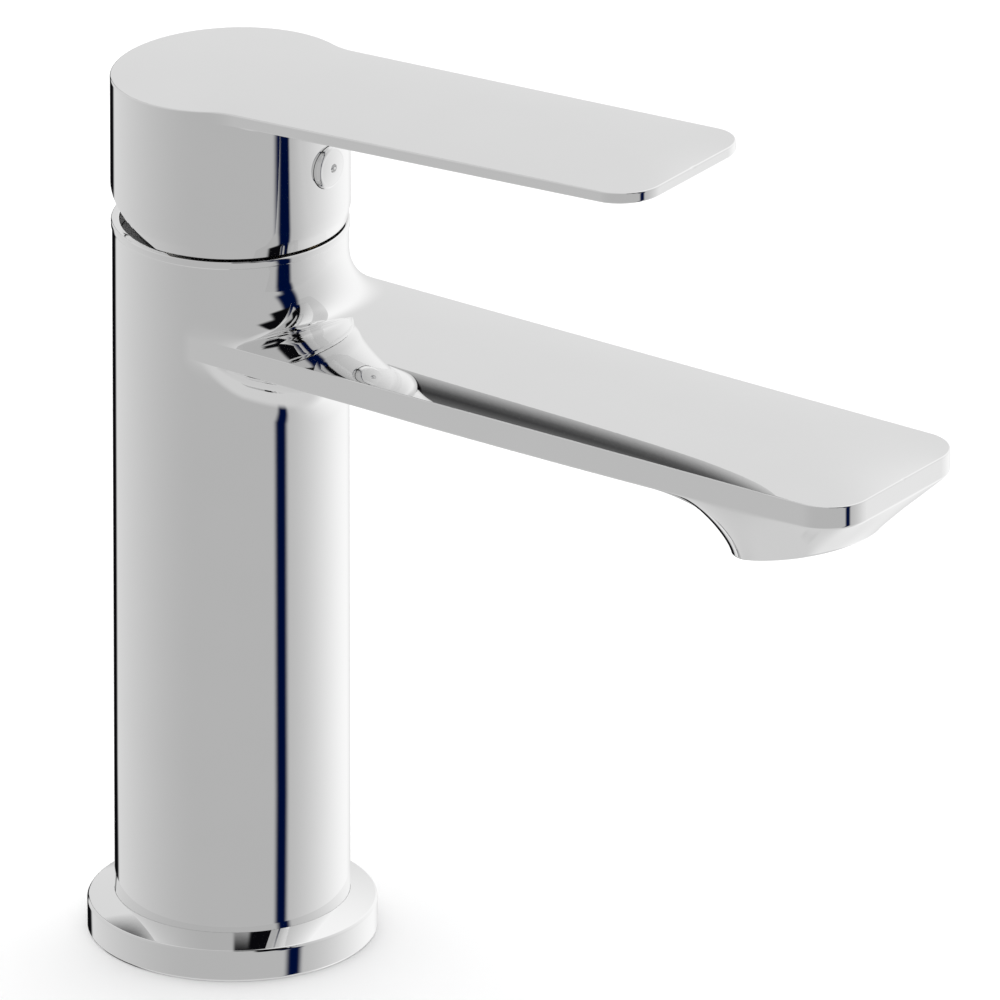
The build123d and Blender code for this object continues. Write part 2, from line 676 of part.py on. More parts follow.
with BuildPart() as index_plug:
    # A low button that stands proud of the cap's wall, with a dimple in its face.
    with BuildSketch(Plane.YZ.offset(PLUG_SEAT_X)):
        with Locations((0, PLUG_Z)):
            Circle(PLUG_RADIUS)
    extrude(amount=PLUG_FRONT_X - PLUG_SEAT_X)
    fillet(index_plug.edges().group_by(Axis.X)[-1], radius=PLUG_ROUNDING)
    with Locations((PLUG_FRONT_X + DIMPLE_RADIUS - DIMPLE_DEPTH, 0, PLUG_Z)):
        Sphere(DIMPLE_RADIUS, mode=Mode.SUBTRACT)
index_plug.part.label = "index_plug"
export_step(index_plug.part, "parts/index_plug.step")

# ---- Aerator in the nozzle, from the mouth inwards ----------------------

AERATOR_RADIUS = 11.95
AERATOR_INNER = 10.3
AERATOR_LIP = 9.5
AERATOR_LOW = 0.8
AERATOR_HIGH = 8.8
SCREEN_THICKNESS = 1.0
INSERT_TOP = 6.8
SCREEN_HOLE = 0.62
SCREEN_PITCH = 2.0
SCREEN_RINGS = 4

with BuildPart() as aerator_housing:
    tube(
        outlet_plane.offset(AERATOR_LOW),
        AERATOR_RADIUS,
        AERATOR_INNER,
        AERATOR_HIGH - AERATOR_LOW,
    )
    tube(outlet_plane.offset(AERATOR_LOW), AERATOR_RADIUS, AERATOR_LIP, SCREEN_THICKNESS)
aerator_housing.part.label = "aerator_housing"
export_step(aerator_housing.part, "parts/aerator_housing.step")

with BuildPart() as aerator_screen:
    disc(outlet_plane.offset(AERATOR_LOW), AERATOR_LIP - 0.05, SCREEN_THICKNESS)
    with BuildSketch(outlet_plane.offset(AERATOR_LOW)):
        Circle(SCREEN_HOLE)
        for ring in range(1, SCREEN_RINGS + 1):
            with PolarLocations(ring * SCREEN_PITCH, 6 * ring):
                Circle(SCREEN_HOLE)
    extrude(amount=SCREEN_THICKNESS, mode=Mode.SUBTRACT)
aerator_screen.part.label = "aerator_screen"
export_step(aerator_screen.part, "parts/aerator_screen.step")

with BuildPart() as aerator_insert:
    insert_low = AERATOR_LOW + SCREEN_THICKNESS
    disc(outlet_plane.offset(insert_low), AERATOR_INNER - 0.05, INSERT_TOP - insert_low)
    with BuildSketch(outlet_plane.offset(insert_low)):
        with PolarLocations(6.6, 12):
            Circle(1.2)
        Circle(3.0)
    extrude(amount=10, mode=Mode.SUBTRACT)
aerator_insert.part.label = "aerator_insert"
export_step(aerator_insert.part, "parts/aerator_insert.step")

with BuildPart() as flow_regulator:
    disc(outlet_plane.offset(INSERT_TOP), 8.4, 1.6)
    with BuildSketch(outlet_plane.offset(INSERT_TOP)):
        with PolarLocations(6.6, 12):
            Circle(1.0)
    extrude(amount=3, mode=Mode.SUBTRACT)
flow_regulator.part.label = "flow_regulator"
export_step(flow_regulator.part, "parts/flow_regulator.step")

with BuildPart() as aerator_seal:
    tube(
        outlet_plane.offset(AERATOR_HIGH),
        AERATOR_RADIUS - 0.1,
        AERATOR_LIP,
        OUTLET_BORE_DEPTH - AERATOR_HIGH,
    )
aerator_seal.part.label = "aerator_seal"
export_step(aerator_seal.part, "parts/aerator_seal.step")
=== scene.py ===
import json
import math

import bmesh
import bpy
import numpy as np
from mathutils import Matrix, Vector


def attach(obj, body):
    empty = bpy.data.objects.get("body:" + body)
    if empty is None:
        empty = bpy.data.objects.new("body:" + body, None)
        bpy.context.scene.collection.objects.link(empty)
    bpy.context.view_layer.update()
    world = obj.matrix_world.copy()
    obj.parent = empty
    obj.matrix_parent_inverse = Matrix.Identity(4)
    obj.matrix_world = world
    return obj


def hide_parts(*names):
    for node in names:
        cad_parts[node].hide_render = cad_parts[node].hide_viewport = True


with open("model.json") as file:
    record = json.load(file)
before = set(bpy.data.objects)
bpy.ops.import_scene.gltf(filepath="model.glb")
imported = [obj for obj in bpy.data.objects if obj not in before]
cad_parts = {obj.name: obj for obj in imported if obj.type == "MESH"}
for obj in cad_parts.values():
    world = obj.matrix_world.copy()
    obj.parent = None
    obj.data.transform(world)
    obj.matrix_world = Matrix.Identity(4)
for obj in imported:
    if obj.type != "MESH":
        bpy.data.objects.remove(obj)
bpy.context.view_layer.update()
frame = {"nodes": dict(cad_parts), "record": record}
MM = 0.001
SMOOTH_COSINE = math.cos(math.radians(14))
MERGE_CELL = 0.002
MERGE_SHIFT = 0.000371
WEAK_CROSS = 0.12
FULL_TURN = 2 * math.pi


def merged(points):
    """Joins points that fall in one small cell: the first point of each cell, and each point's cell."""
    keys = np.floor((points + MERGE_SHIFT) / MERGE_CELL).astype(np.int64)
    first, back = np.unique(keys, axis=0, return_index=True, return_inverse=True)[1:]
    return first, back.reshape(-1)


class Skin:
    """Surface patches in millimetres, joined into one closed mesh with exact shading normals."""

    def __init__(self):
        self.points = []
        self.normals = []
        self.faces = []
        self.total = 0

    def patch(self, grid, normals=None, ring=False):
        """Adds a grid of points; normals may be one for each point, for each column or for the whole grid."""
        grid = np.asarray(grid, float)
        normals = slopes(grid, ring) if normals is None else np.broadcast_to(normals, grid.shape)
        if ring:
            grid = np.concatenate([grid, grid[:, :1]], 1)
            normals = np.concatenate([normals, normals[:, :1]], 1)
        rows, cols = grid.shape[:2]
        ids = self.total + np.arange(rows * cols).reshape(rows, cols)
        corners = np.stack([ids[:-1, :-1], ids[1:, :-1], ids[1:, 1:], ids[:-1, 1:]], -1)
        self.points.append(grid.reshape(-1, 3))
        self.normals.append(normals.reshape(-1, 3))
        self.faces.append(corners.reshape(-1, 4))
        self.total += rows * cols

    def turn(self, profile, angles, place=None):
        """Revolves runs of (radius, height) about the upright axis, or about the axis that place gives."""
        for run in profile:
            run = np.asarray(run, float)
            grid = np.empty((len(run), len(angles), 3))
            grid[..., 0] = run[:, :1] * np.cos(angles)
            grid[..., 1] = run[:, :1] * np.sin(angles)
            grid[..., 2] = run[:, 1:]
            step = np.gradient(run, axis=0)
            length = np.hypot(step[:, 0], step[:, 1])[:, None]
            length[length == 0] = 1
            step = step / length
            normal = np.empty_like(grid)
            normal[..., 0] = step[:, 1:] * np.cos(angles)
            normal[..., 1] = step[:, 1:] * np.sin(angles)
            normal[..., 2] = -step[:, :1]
            if place is not None:
                grid, normal = place(grid), place(normal, False)
            self.patch(grid, normal, ring=True)

    def mesh(self, name):
        """Joins the patches into one object, whose normals are averaged only where they nearly agree."""
        points = np.concatenate(self.points)
        normals = np.concatenate(self.normals)
        faces = np.concatenate(self.faces)
        first, back = merged(points)
        polygons = []
        corner_normals = []
        for face in faces:
            ring = []
            for corner in face:
                joined = back[corner]
                if all(joined != other for other, _ in ring):
                    ring.append((joined, corner))
            if len(ring) > 2:
                polygons.append([joined for joined, _ in ring])
                corner_normals.append([normals[corner] for _, corner in ring])
        mesh = bpy.data.meshes.new(name)
        mesh.from_pydata((points[first] * MM).tolist(), [], polygons)
        work = bmesh.new()
        work.from_mesh(mesh)
        bmesh.ops.recalc_face_normals(work, faces=work.faces)
        work.to_mesh(mesh)
        work.free()
        turned = []
        lookup = []
        for index, polygon in enumerate(mesh.polygons):
            own = dict(zip(polygons[index], corner_normals[index]))
            across = np.array(polygon.normal)
            for vertex in polygon.vertices:
                lookup.append(vertex)
                normal = own[vertex]
                turned.append(-normal if normal @ across < 0 else normal)
        turned = np.array(turned)
        turned /= np.linalg.norm(turned, axis=1)[:, None]
        lookup = np.array(lookup)
        order = np.argsort(lookup, kind="stable")
        cuts = np.flatnonzero(np.diff(lookup[order])) + 1
        final = turned.copy()
        for group in np.split(order, cuts):
            own = turned[group]
            near = (own @ own.T) > SMOOTH_COSINE
            joined = near.astype(float) @ own
            final[group] = joined / np.linalg.norm(joined, axis=1)[:, None]
        mesh.polygons.foreach_set("use_smooth", [True] * len(mesh.polygons))
        mesh.normals_split_custom_set(final.tolist())
        mesh.update()
        thing = bpy.data.objects.new(name, mesh)
        bpy.context.scene.collection.objects.link(thing)
        return thing


def slopes(grid, ring=False):
    """Unit normals of a grid of points. A cell that is pinched flat takes its neighbours' normals."""
    work = np.concatenate([grid[:, -2:], grid, grid[:, :2]], 1) if ring else grid
    down = np.gradient(work, axis=0, edge_order=2 if len(work) > 2 else 1)
    across = np.gradient(work, axis=1, edge_order=2 if work.shape[1] > 2 else 1)
    normal = np.cross(down, across)
    size = np.linalg.norm(normal, axis=2)
    spread = np.linalg.norm(down, axis=2) * np.linalg.norm(across, axis=2)
    weak = size < np.maximum(1e-7, WEAK_CROSS * spread)
    normal = normal / np.where(weak, 1, size)[..., None]
    for _ in range(3):
        if not weak.any():
            break
        total = np.zeros_like(normal)
        for axis, shift in ((0, 1), (0, -1), (1, 1), (1, -1)):
            moved = np.roll(normal, shift, axis)
            blank = np.roll(weak, shift, axis).copy()
            edge = [slice(None), slice(None)]
            edge[axis] = 0 if shift == 1 else -1
            blank[tuple(edge)] = True
            total += np.where(blank[..., None], 0, moved)
        found = np.linalg.norm(total, axis=2)
        fresh = weak & (found > 1e-6)
        normal[fresh] = total[fresh] / found[fresh][:, None]
        weak = weak & ~fresh
    return normal[:, 2:-2] if ring else normal


def level(angle):
    """Level directions at angles round the upright axis."""
    return np.stack([np.cos(angle), np.sin(angle), np.zeros_like(angle)], -1)


def at_height(around, reach, height):
    """Points out along the level directions around, at the given reach and height."""
    flat = around * reach
    grid = np.broadcast_to(flat, np.broadcast_shapes(flat.shape[:-1], np.shape(height)) + (3,)).copy()
    grid[..., 2] = height
    return grid


def smoothstep(value, low, high):
    part = np.clip((np.asarray(value, float) - low) / (high - low), 0, 1)
    return part * part * (3 - 2 * part)


def run_of(corners, arc_steps=6):
    """Splits a profile of (radius, height, rounding) corners into straight runs and rounded runs."""
    runs = []
    last = np.array(corners[0][:2], float)
    for index in range(1, len(corners) - 1):
        corner = np.array(corners[index][:2], float)
        rounding = corners[index][2]
        follow = np.array(corners[index + 1][:2], float)
        inward = np.array(corners[index - 1][:2], float) - corner
        inward = inward / np.linalg.norm(inward)
        onward = (follow - corner) / np.linalg.norm(follow - corner)
        if rounding == 0:
            runs.append(np.array([last, corner]))
            last = corner
            continue
        half = math.acos(np.clip(inward @ onward, -1, 1)) / 2
        reach = rounding / math.tan(half)
        begin = corner + inward * reach
        end = corner + onward * reach
        bisector = (inward + onward) / np.linalg.norm(inward + onward)
        centre = corner + bisector * rounding / math.sin(half)
        first = begin - centre
        final = end - centre
        sweep = math.pi - 2 * half
        steps = np.linspace(0, 1, arc_steps + 1)[:, None]
        arc = (np.sin((1 - steps) * sweep) * first + np.sin(steps * sweep) * final) / math.sin(sweep)
        runs.append(np.array([last, begin]))
        runs.append(centre + arc)
        last = end
    runs.append(np.array([last, np.array(corners[-1][:2], float)]))
    return runs


THIN_AREA = 1e-9
MOST_ROUNDS = 3000
SETTLED = 1e-18


def membrane(grids, pinned, load):
    """Heights of a skin blown up over the flat grids of (x, y); pinned gives the fixed heights or nan."""
    flat = np.concatenate([grid.reshape(-1, 2) for grid in grids])
    given = np.concatenate([values.reshape(-1) for values in pinned])
    first, back = merged(flat)
    nodes = flat[first]
    count = len(nodes)
    fixed = np.full(count, np.nan)
    known = ~np.isnan(given)
    fixed[back[known]] = given[known]
    triangles = []
    offset = 0
    for grid in grids:
        rows, cols = grid.shape[:2]
        ids = back[offset + np.arange(rows * cols)].reshape(rows, cols)
        offset += rows * cols
        a, b = ids[:-1, :-1].ravel(), ids[1:, :-1].ravel()
        c, d = ids[1:, 1:].ravel(), ids[:-1, 1:].ravel()
        triangles += [np.stack([a, b, c], 1), np.stack([a, c, d], 1)]
        triangles += [np.stack([a, b, d], 1), np.stack([b, c, d], 1)]
    corners = np.concatenate(triangles)
    corners = corners[np.all(corners != np.roll(corners, 1, axis=1), axis=1)]
    p = nodes[corners]
    edge = np.stack([p[:, 2] - p[:, 1], p[:, 0] - p[:, 2], p[:, 1] - p[:, 0]], 1)
    area = np.abs(edge[:, 2, 0] * edge[:, 1, 1] - edge[:, 2, 1] * edge[:, 1, 0]) / 2
    solid = area > THIN_AREA
    corners, edge, area = corners[solid], edge[solid], area[solid]
    stiff = np.einsum("nik,njk->nij", edge, edge) / (4 * area)[:, None, None]
    rows = np.repeat(corners, 3, axis=1).ravel()
    cols = np.tile(corners, (1, 3)).ravel()
    values = stiff.ravel()
    force = np.bincount(corners.ravel(), np.repeat(area / 3, 3) * load, count)

    def apply(vector):
        return np.bincount(rows, values * vector[cols], count)

    free = np.isnan(fixed)
    heights = np.where(free, 0, fixed)
    scale = np.bincount(rows[rows == cols], values[rows == cols], count)
    scale[scale == 0] = 1
    rest = np.where(free, force - apply(heights), 0)
    guess = rest / scale
    path = guess.copy()
    energy = rest @ guess
    for _ in range(MOST_ROUNDS):
        bent = np.where(free, apply(path), 0)
        step = energy / (path @ bent)
        heights = heights + step * path
        rest = rest - step * bent
        guess = rest / scale
        fresh = rest @ guess
        if fresh < SETTLED:
            break
        path = guess + fresh / energy * path
        energy = fresh
    spread = heights[back]
    result = []
    offset = 0
    for grid in grids:
        size = grid.shape[0] * grid.shape[1]
        result.append(spread[offset:offset + size].reshape(grid.shape[:2]))
        offset += size
    return result


def rounded(start, control, end, part):
    """Points of one rounded corner in a cross-section, at the given parts of its way."""
    part = part[:, None]
    return start * (1 - part) ** 2 + control * 2 * (part * (1 - part)) + end * part ** 2


def bend(start, control, end, steps):
    """Points of a rounded edge that leaves start and reaches end along the lines through control."""
    part = np.linspace(0, 1, steps + 1)
    start, control, end = start[:, None], control[:, None], end[:, None]
    part = part[None, :, None]
    return start * (1 - part) ** 2 + control * 2 * part * (1 - part) + end * part ** 2


# ---------------------------------------------------------------- body casting
COLUMN = 22.5
RIM, RIM_BORE, RIM_TOP = 22.7, 21.1, 146.3
LEDGE_Z = 142.0
NUT_BORE, NUT_FLOOR = 19.0, 133.5
SOCKET, SOCKET_FLOOR = 17.8, 118.0
FOOT_BORE, FOOT_ROOF, COLUMN_LOW = 19.5, 46.0, 3.0
EDGE_Z = 130.6
CROWN = 3.4
BELLY_Z = 121.2
SPOUT_END = 155.6
SPOUT_HALF = 22.0
SPOUT_CORNER = 8.5
NOSE_OUT = SPOUT_END - SPOUT_CORNER
ROOT_INSET = 0.12
ROOT_WALL_X = 12.0
FILLET, FILLET_CHANGE = 9.5, 1.5
ACROSS = 72
ROUND_STEPS = 8
WALL_STEPS = 6
BEVEL = 0.35
STRAIGHT_X = 60.0
NOZZLE_X = 112.0
NOZZLE_HOLD, NOZZLE_SETTLE, NOZZLE_TURN = 10, 14, 22
NOZZLE_PULL = 0.9
WINDOW_ANGLE = math.radians(105)
WINDOW_TOP = 144.0
WINDOW_LOW = 104.0
TILT = math.radians(11)
OUTLET = np.array([133.6, 0, 113.9])
LIP = 0.45
AERATOR, AERATOR_CHAMFER, AERATOR_DEPTH = 12.0, 0.35, 11.0
MOUTH_ALONG = np.array([math.cos(TILT), 0, math.sin(TILT)])
MOUTH_OUT = np.array([math.sin(TILT), 0, -math.cos(TILT)])


def spout_half(x):
    """Half the spout's width, which narrows by 2 mm from the column's axis to the end."""
    return SPOUT_HALF - np.asarray(x, float) / SPOUT_END


WALL_PLACES = [5, 45, 80, 112, 147, 155]
WALL_HEIGHTS = [4.75, 5.05, 5.3, 5.1, 4.45, 4.25]
WALL_FIT = np.polyfit(WALL_PLACES, WALL_HEIGHTS, 3)


def wall_height(x):
    """Height of the spout's side wall, as a smooth curve through the heights at a few places."""
    return np.polyval(WALL_FIT, x)


def mouth_reach(angle):
    """Distance of the outlet's rim from the outlet's centre at an angle round it."""
    angle = np.abs((np.asarray(angle) + math.pi) % FULL_TURN - math.pi)
    knots = np.radians([0, 20, 45, 70, 90, 105, 118, 132, 150, 180])
    reach = [14.4, 14.45, 14.85, 15.45, 15.95, 16.4, 15.9, 14.9, 14.15, 13.7]
    fine = np.linspace(-math.pi, FULL_TURN, 1081)
    dense = np.interp(fine, np.concatenate([-knots[::-1], knots[1:], FULL_TURN - knots[::-1][1:]]),
                      reach[::-1] + reach[1:] + reach[::-1][1:])
    window = np.exp(-np.linspace(-2, 2, 41) ** 2)
    soft = np.convolve(np.pad(dense, 20, mode="edge"), window / window.sum(), "valid")
    return np.interp(angle, fine, soft)


def mouth_spokes(angle):
    """Directions in the outlet's plane at angles round its centre."""
    return np.cos(angle)[:, None] * MOUTH_ALONG + np.sin(angle)[:, None] * np.array([0, 1, 0])


def body_shell():
    """Column, spout and nozzle as one skin, with the socket in its top and the recess in its foot."""
    skin = Skin()
    share = np.linspace(-1, 1, ACROSS + 1)
    root_half = SPOUT_HALF - ROOT_INSET - BEVEL
    top_slope = 2 * CROWN / root_half
    belly_edge = EDGE_Z - wall_height(ROOT_WALL_X)
    belly_slope = 2 * (belly_edge - BELLY_Z) / (root_half + 2 * BEVEL)
    belly_edge_in = belly_edge - BEVEL * belly_slope

    # outline of the slab's cross-section where the spout meets the column: y, z and outward normal
    top_y = share * root_half
    crown = CROWN - BEVEL * top_slope
    top_z = EDGE_Z + BEVEL * top_slope + crown * (1 - share ** 2)
    top_n = np.stack([2 * crown * share / root_half, np.ones_like(share)], 1)
    top_n /= np.linalg.norm(top_n, axis=1)[:, None]
    depth = belly_edge_in - BELLY_Z
    low_y = -share * root_half
    low_z = belly_edge_in - depth * (1 - share ** 2)
    low_n = np.stack([-2 * depth * share / root_half, -np.ones_like(share)], 1)
    low_n /= np.linalg.norm(low_n, axis=1)[:, None]
    part = np.linspace(0, 1, ROUND_STEPS + 1)
    start = np.array([root_half, top_z[-1]])
    control = np.array([root_half + BEVEL, top_z[-1] - BEVEL * 2 * crown / root_half])
    end = control - [0, BEVEL]
    low_end = np.array([root_half, belly_edge_in])
    low_control = np.array([root_half + BEVEL, belly_edge_in + BEVEL * 2 * depth / root_half])
    low_start = low_control + [0, BEVEL]

    def arc(a, b, c):
        spots = rounded(a, b, c, part)
        tangent = (b - a) * (1 - part[:, None]) + (c - b) * part[:, None]
        normal = np.stack([-tangent[:, 1], tangent[:, 0]], 1)
        return spots, normal / np.linalg.norm(normal, axis=1)[:, None]

    upper, upper_n = arc(start, control, end)
    lower, lower_n = arc(low_start, low_control, low_end)
    wall = np.linspace(end, low_start, WALL_STEPS + 1)[1:-1]
    side = np.concatenate([upper, wall, lower])
    side_n = np.concatenate([upper_n, np.tile([1.0, 0.0], (len(wall), 1)), lower_n])
    mirror = np.array([-1, 1])
    loop = np.concatenate([np.stack([top_y, top_z], 1), side[1:-1], np.stack([low_y, low_z], 1),
                           (side * mirror)[::-1][1:-1]])
    loop_n = np.concatenate([top_n, side_n[1:-1], low_n, (side_n * mirror)[::-1][1:-1]])
    radius = FILLET - FILLET_CHANGE * loop_n[:, 1]
    centre_y = loop[:, 0] + radius * loop_n[:, 0]
    centre_z = loop[:, 1] + radius * loop_n[:, 1]
    root_x = np.sqrt((COLUMN + radius) ** 2 - centre_y ** 2)
    count = len(loop)
    side_count = len(side) - 1
    axis_n = np.stack([root_x, centre_y, np.zeros(count)], 1) / (COLUMN + radius)[:, None]
    slab_n = np.stack([np.zeros(count), loop_n[:, 0], loop_n[:, 1]], 1)
    centre = np.stack([root_x, centre_y, centre_z], 1)
    sweep = np.arccos(np.clip(np.sum(slab_n * axis_n, 1), -1, 1))
    steps = np.linspace(0, 1, 13)[:, None]
    swing = (np.sin((1 - steps) * sweep)[..., None] * slab_n + np.sin(steps * sweep)[..., None] * axis_n)
    swing = swing / np.sin(sweep)[None, :, None]
    fillet = centre[None] - swing * radius[None, :, None]
    skin.patch(fillet, swing, ring=True)

    # the column's skin between the fillet and a window cut in the cylinder
    side_share = np.linspace(0, 1, side_count + 1)
    window_side = np.full(side_count - 1, WINDOW_ANGLE)
    frame_angle = np.concatenate([share * WINDOW_ANGLE, window_side, -share * WINDOW_ANGLE, -window_side])
    frame_z = np.concatenate([np.full(ACROSS + 1, WINDOW_TOP),
                              (WINDOW_TOP + (WINDOW_LOW - WINDOW_TOP) * side_share)[1:-1],
                              np.full(ACROSS + 1, WINDOW_LOW),
                              (WINDOW_LOW + (WINDOW_TOP - WINDOW_LOW) * side_share)[1:-1]])
    touch_angle = np.arctan2(centre_y, root_x)
    steps = np.linspace(0, 1, 11)[:, None]
    angle = touch_angle * (1 - steps) + frame_angle * steps
    height = centre_z * (1 - steps) + frame_z * steps
    around = level(angle)
    grid = at_height(around, COLUMN, height)
    grid[0] = fillet[-1]
    skin.patch(grid, around, ring=True)

    back = np.linspace(WINDOW_ANGLE, FULL_TURN - WINDOW_ANGLE, 49)
    window_z = WINDOW_TOP + (WINDOW_LOW - WINDOW_TOP) * side_share
    skin.patch(at_height(level(back), COLUMN, window_z[:, None]), level(back))
    turn = np.concatenate([share * WINDOW_ANGLE, back[1:-1]])
    rim = run_of([(COLUMN, WINDOW_TOP, 0), (COLUMN, 144.8, 0.05), (RIM, 145.0, 0.1), (RIM, RIM_TOP, 0.45),
                  (RIM_BORE, RIM_TOP, 0.2), (RIM_BORE, LEDGE_Z, 0), (NUT_BORE, LEDGE_Z, 0.15),
                  (NUT_BORE, NUT_FLOOR, 0), (SOCKET, NUT_FLOOR, 0.1), (SOCKET, SOCKET_FLOOR, 0),
                  (8.0, SOCKET_FLOOR, 0), (0, SOCKET_FLOOR, 0)])
    skin.turn(rim, turn)
    shaft = run_of([(COLUMN, WINDOW_LOW, 0), (COLUMN, 70.0, 0), (COLUMN, 36.0, 0), (COLUMN, COLUMN_LOW, 0.3),
                    (FOOT_BORE, COLUMN_LOW, 0.3), (FOOT_BORE, FOOT_ROOF, 0), (8.0, FOOT_ROOF, 0),
                    (0, FOOT_ROOF, 0)])
    skin.turn(shaft, turn)

    # plan of the spout: stations with half-width, inside the edge rounding
    blend = np.linspace(0, 1, 25) ** 1.25
    mid = np.linspace(STRAIGHT_X, NOZZLE_X, 21)[1:]
    late = np.linspace(NOZZLE_X, NOSE_OUT, 25)[1:]
    lean = np.linspace(0, math.pi / 2, 17)[1:]
    blend_count = len(blend)

    nose = SPOUT_CORNER - BEVEL
    corner_half = spout_half(NOSE_OUT) - SPOUT_CORNER
    inner_x = np.concatenate([np.full(blend_count, STRAIGHT_X), mid, late, NOSE_OUT + nose * np.sin(lean)])
    straight_half = spout_half(inner_x[: -len(lean)]) - BEVEL
    inner_half = np.concatenate([straight_half, corner_half + nose * np.cos(lean)])
    rows = len(inner_x)
    pull = np.ones(rows)
    pull[:blend_count] = blend
    out_dir = np.zeros((rows, 2))
    out_dir[:, 1] = 1
    out_dir[-len(lean):, 0] = np.sin(lean)
    out_dir[-len(lean):, 1] = np.cos(lean)

    def spread_x(row_x, at_root):
        return row_x * pull + at_root * (1 - pull)

    # top of the spout
    top_x = np.array([spread_x(inner_x, root_x[j]) for j in range(ACROSS + 1)]).T
    real_half = np.where(np.arange(rows)[:, None] < blend_count,
                         root_half * (1 - pull[:, None]) + (spout_half(STRAIGHT_X) - BEVEL) * pull[:, None],
                         inner_half[:, None])
    plan = np.stack([top_x, share[None] * real_half], 2)
    pinned = np.full(plan.shape[:2], np.nan)
    pinned[:, 0] = 0
    pinned[:, -1] = 0
    pinned[-1] = 0
    pinned[0] = top_z - top_z[0]
    lift = membrane([plan], [pinned], 2 * crown / root_half ** 2)[0]
    top = np.concatenate([plan, (lift + top_z[0])[..., None]], 2)
    top_normals = slopes(top)
    top_normals *= np.sign(top_normals[..., 2:])
    top_normals[0] = slab_n[: ACROSS + 1]
    skin.patch(top, top_normals)

    # perimeter of the slab, from the root on the right round the nose to the root on the left
    def perimeter(right, front, left):
        return np.concatenate([right, front[1:-1], left[::-1]])

    pull_ring = perimeter(pull, np.ones(ACROSS + 1), pull)
    in_xy = perimeter(plan[:, 0], plan[-1], plan[:, -1])
    top_edge = perimeter(top[:, 0], top[-1], top[:, -1])
    edge_n = perimeter(top_normals[:, 0], top_normals[-1], top_normals[:, -1])
    front_dir = np.tile([1.0, 0.0], (ACROSS + 1, 1))
    away = perimeter(out_dir * [1, -1], front_dir, out_dir)
    away3 = np.concatenate([away, np.zeros((len(away), 1))], 1)
    fall = np.sum(edge_n * away3, 1) / edge_n[:, 2]

    # underside up to the nozzle
    belly_rows = blend_count + len(mid)
    low_root = root_x[ACROSS + side_count: ACROSS + side_count + ACROSS + 1][::-1]
    under_x = np.array([spread_x(inner_x, low_root[j])[:belly_rows] for j in range(ACROSS + 1)]).T
    under_half = real_half[:belly_rows]
    edge_z = EDGE_Z - wall_height(np.where(np.arange(belly_rows)[:, None] == 0, ROOT_WALL_X, under_x))
    edge_z = edge_z * pull[:belly_rows, None] + belly_edge * (1 - pull[:belly_rows, None])
    edge_drop = 2 * (edge_z - BELLY_Z) / (under_half + 2 * BEVEL)
    edge_in = edge_z - BEVEL * edge_drop
    under_z = edge_in - (edge_in - BELLY_Z) * (1 - share[None] ** 2)
    under = np.stack([under_x, share[None] * under_half, under_z], 2)
    under_normals = slopes(under)
    under_normals *= -np.sign(under_normals[..., 2:])
    under_normals[0] = slab_n[ACROSS + side_count: ACROSS + side_count + ACROSS + 1][::-1]
    skin.patch(under, under_normals)

    # nozzle: spokes from the slab's lower edge to the rim of the outlet
    nozzle_rows = np.arange(belly_rows - 1, rows)
    side_low = EDGE_Z - wall_height(inner_x[nozzle_rows])
    ends = len(nozzle_rows)
    front_z = np.full(ACROSS + 1, EDGE_Z - wall_height(inner_x[-1]))
    ring_in = np.concatenate([plan[nozzle_rows, 0], plan[-1][1:-1], plan[nozzle_rows, -1][::-1]])
    ring_low = np.concatenate([side_low, front_z[1:-1], side_low[::-1]])
    far_dir, near_dir = (out_dir * [1, -1])[nozzle_rows], out_dir[nozzle_rows][::-1]
    ring_away = np.concatenate([far_dir, front_dir[1:-1], near_dir])
    bearing = np.arctan2(ring_in[:, 1], ring_in[:, 0] - OUTLET[0])
    rim_edge = OUTLET + mouth_reach(bearing)[:, None] * mouth_spokes(bearing)
    ring_drop_start = 2 * (side_low[0] - BELLY_Z) / (inner_half[belly_rows - 1] + 2 * BEVEL)
    chord = rim_edge - np.concatenate([ring_in, ring_low[:, None]], 1)
    inward = -np.sum(chord[:, :2] * ring_away, 1)
    steep = -chord[:, 2] / inward
    settle = smoothstep(ring_in[:, 0], NOZZLE_X, NOZZLE_X + NOZZLE_SETTLE)
    steep = ring_drop_start * (1 - settle) + steep * settle
    ring_z = ring_low - BEVEL * steep
    ring_z[0] = under[-1, 0, 2]
    ring_z[-1] = under[-1, -1, 2]
    ring_start = np.concatenate([ring_in, ring_z[:, None]], 1)
    along = np.stack([-ring_away[:, 1], ring_away[:, 0]], 1)
    chord_along = np.sum(chord[:, :2] * along, 1)
    leave = np.zeros((len(ring_in), 3))
    leave[:, :2] = along * chord_along[:, None] - ring_away * inward[:, None]
    leave[:, 2] = -inward * steep
    leave /= np.linalg.norm(leave, axis=1)[:, None]
    forward = np.array([1.0, 0, 0])
    hold = 1 - smoothstep(ring_in[:, 0], NOZZLE_X, NOZZLE_X + NOZZLE_HOLD)
    leave = leave * (1 - hold[:, None]) + forward * hold[:, None]
    leave /= np.linalg.norm(leave, axis=1)[:, None]
    back_start = under[-1][1:-1][::-1]
    spoke_start = np.concatenate([ring_start, back_start])
    spoke_leave = np.concatenate([leave, np.tile(forward, (len(back_start), 1))])
    back_bearing = np.arctan2(back_start[:, 1], back_start[:, 0] - OUTLET[0])
    bearing_all = np.concatenate([bearing, back_bearing])
    reach_all = mouth_reach(bearing_all)

    bore = mouth_spokes(bearing_all)

    def rim_ring(shrink, rise):
        return OUTLET + (reach_all - shrink)[:, None] * bore - MOUTH_OUT * rise

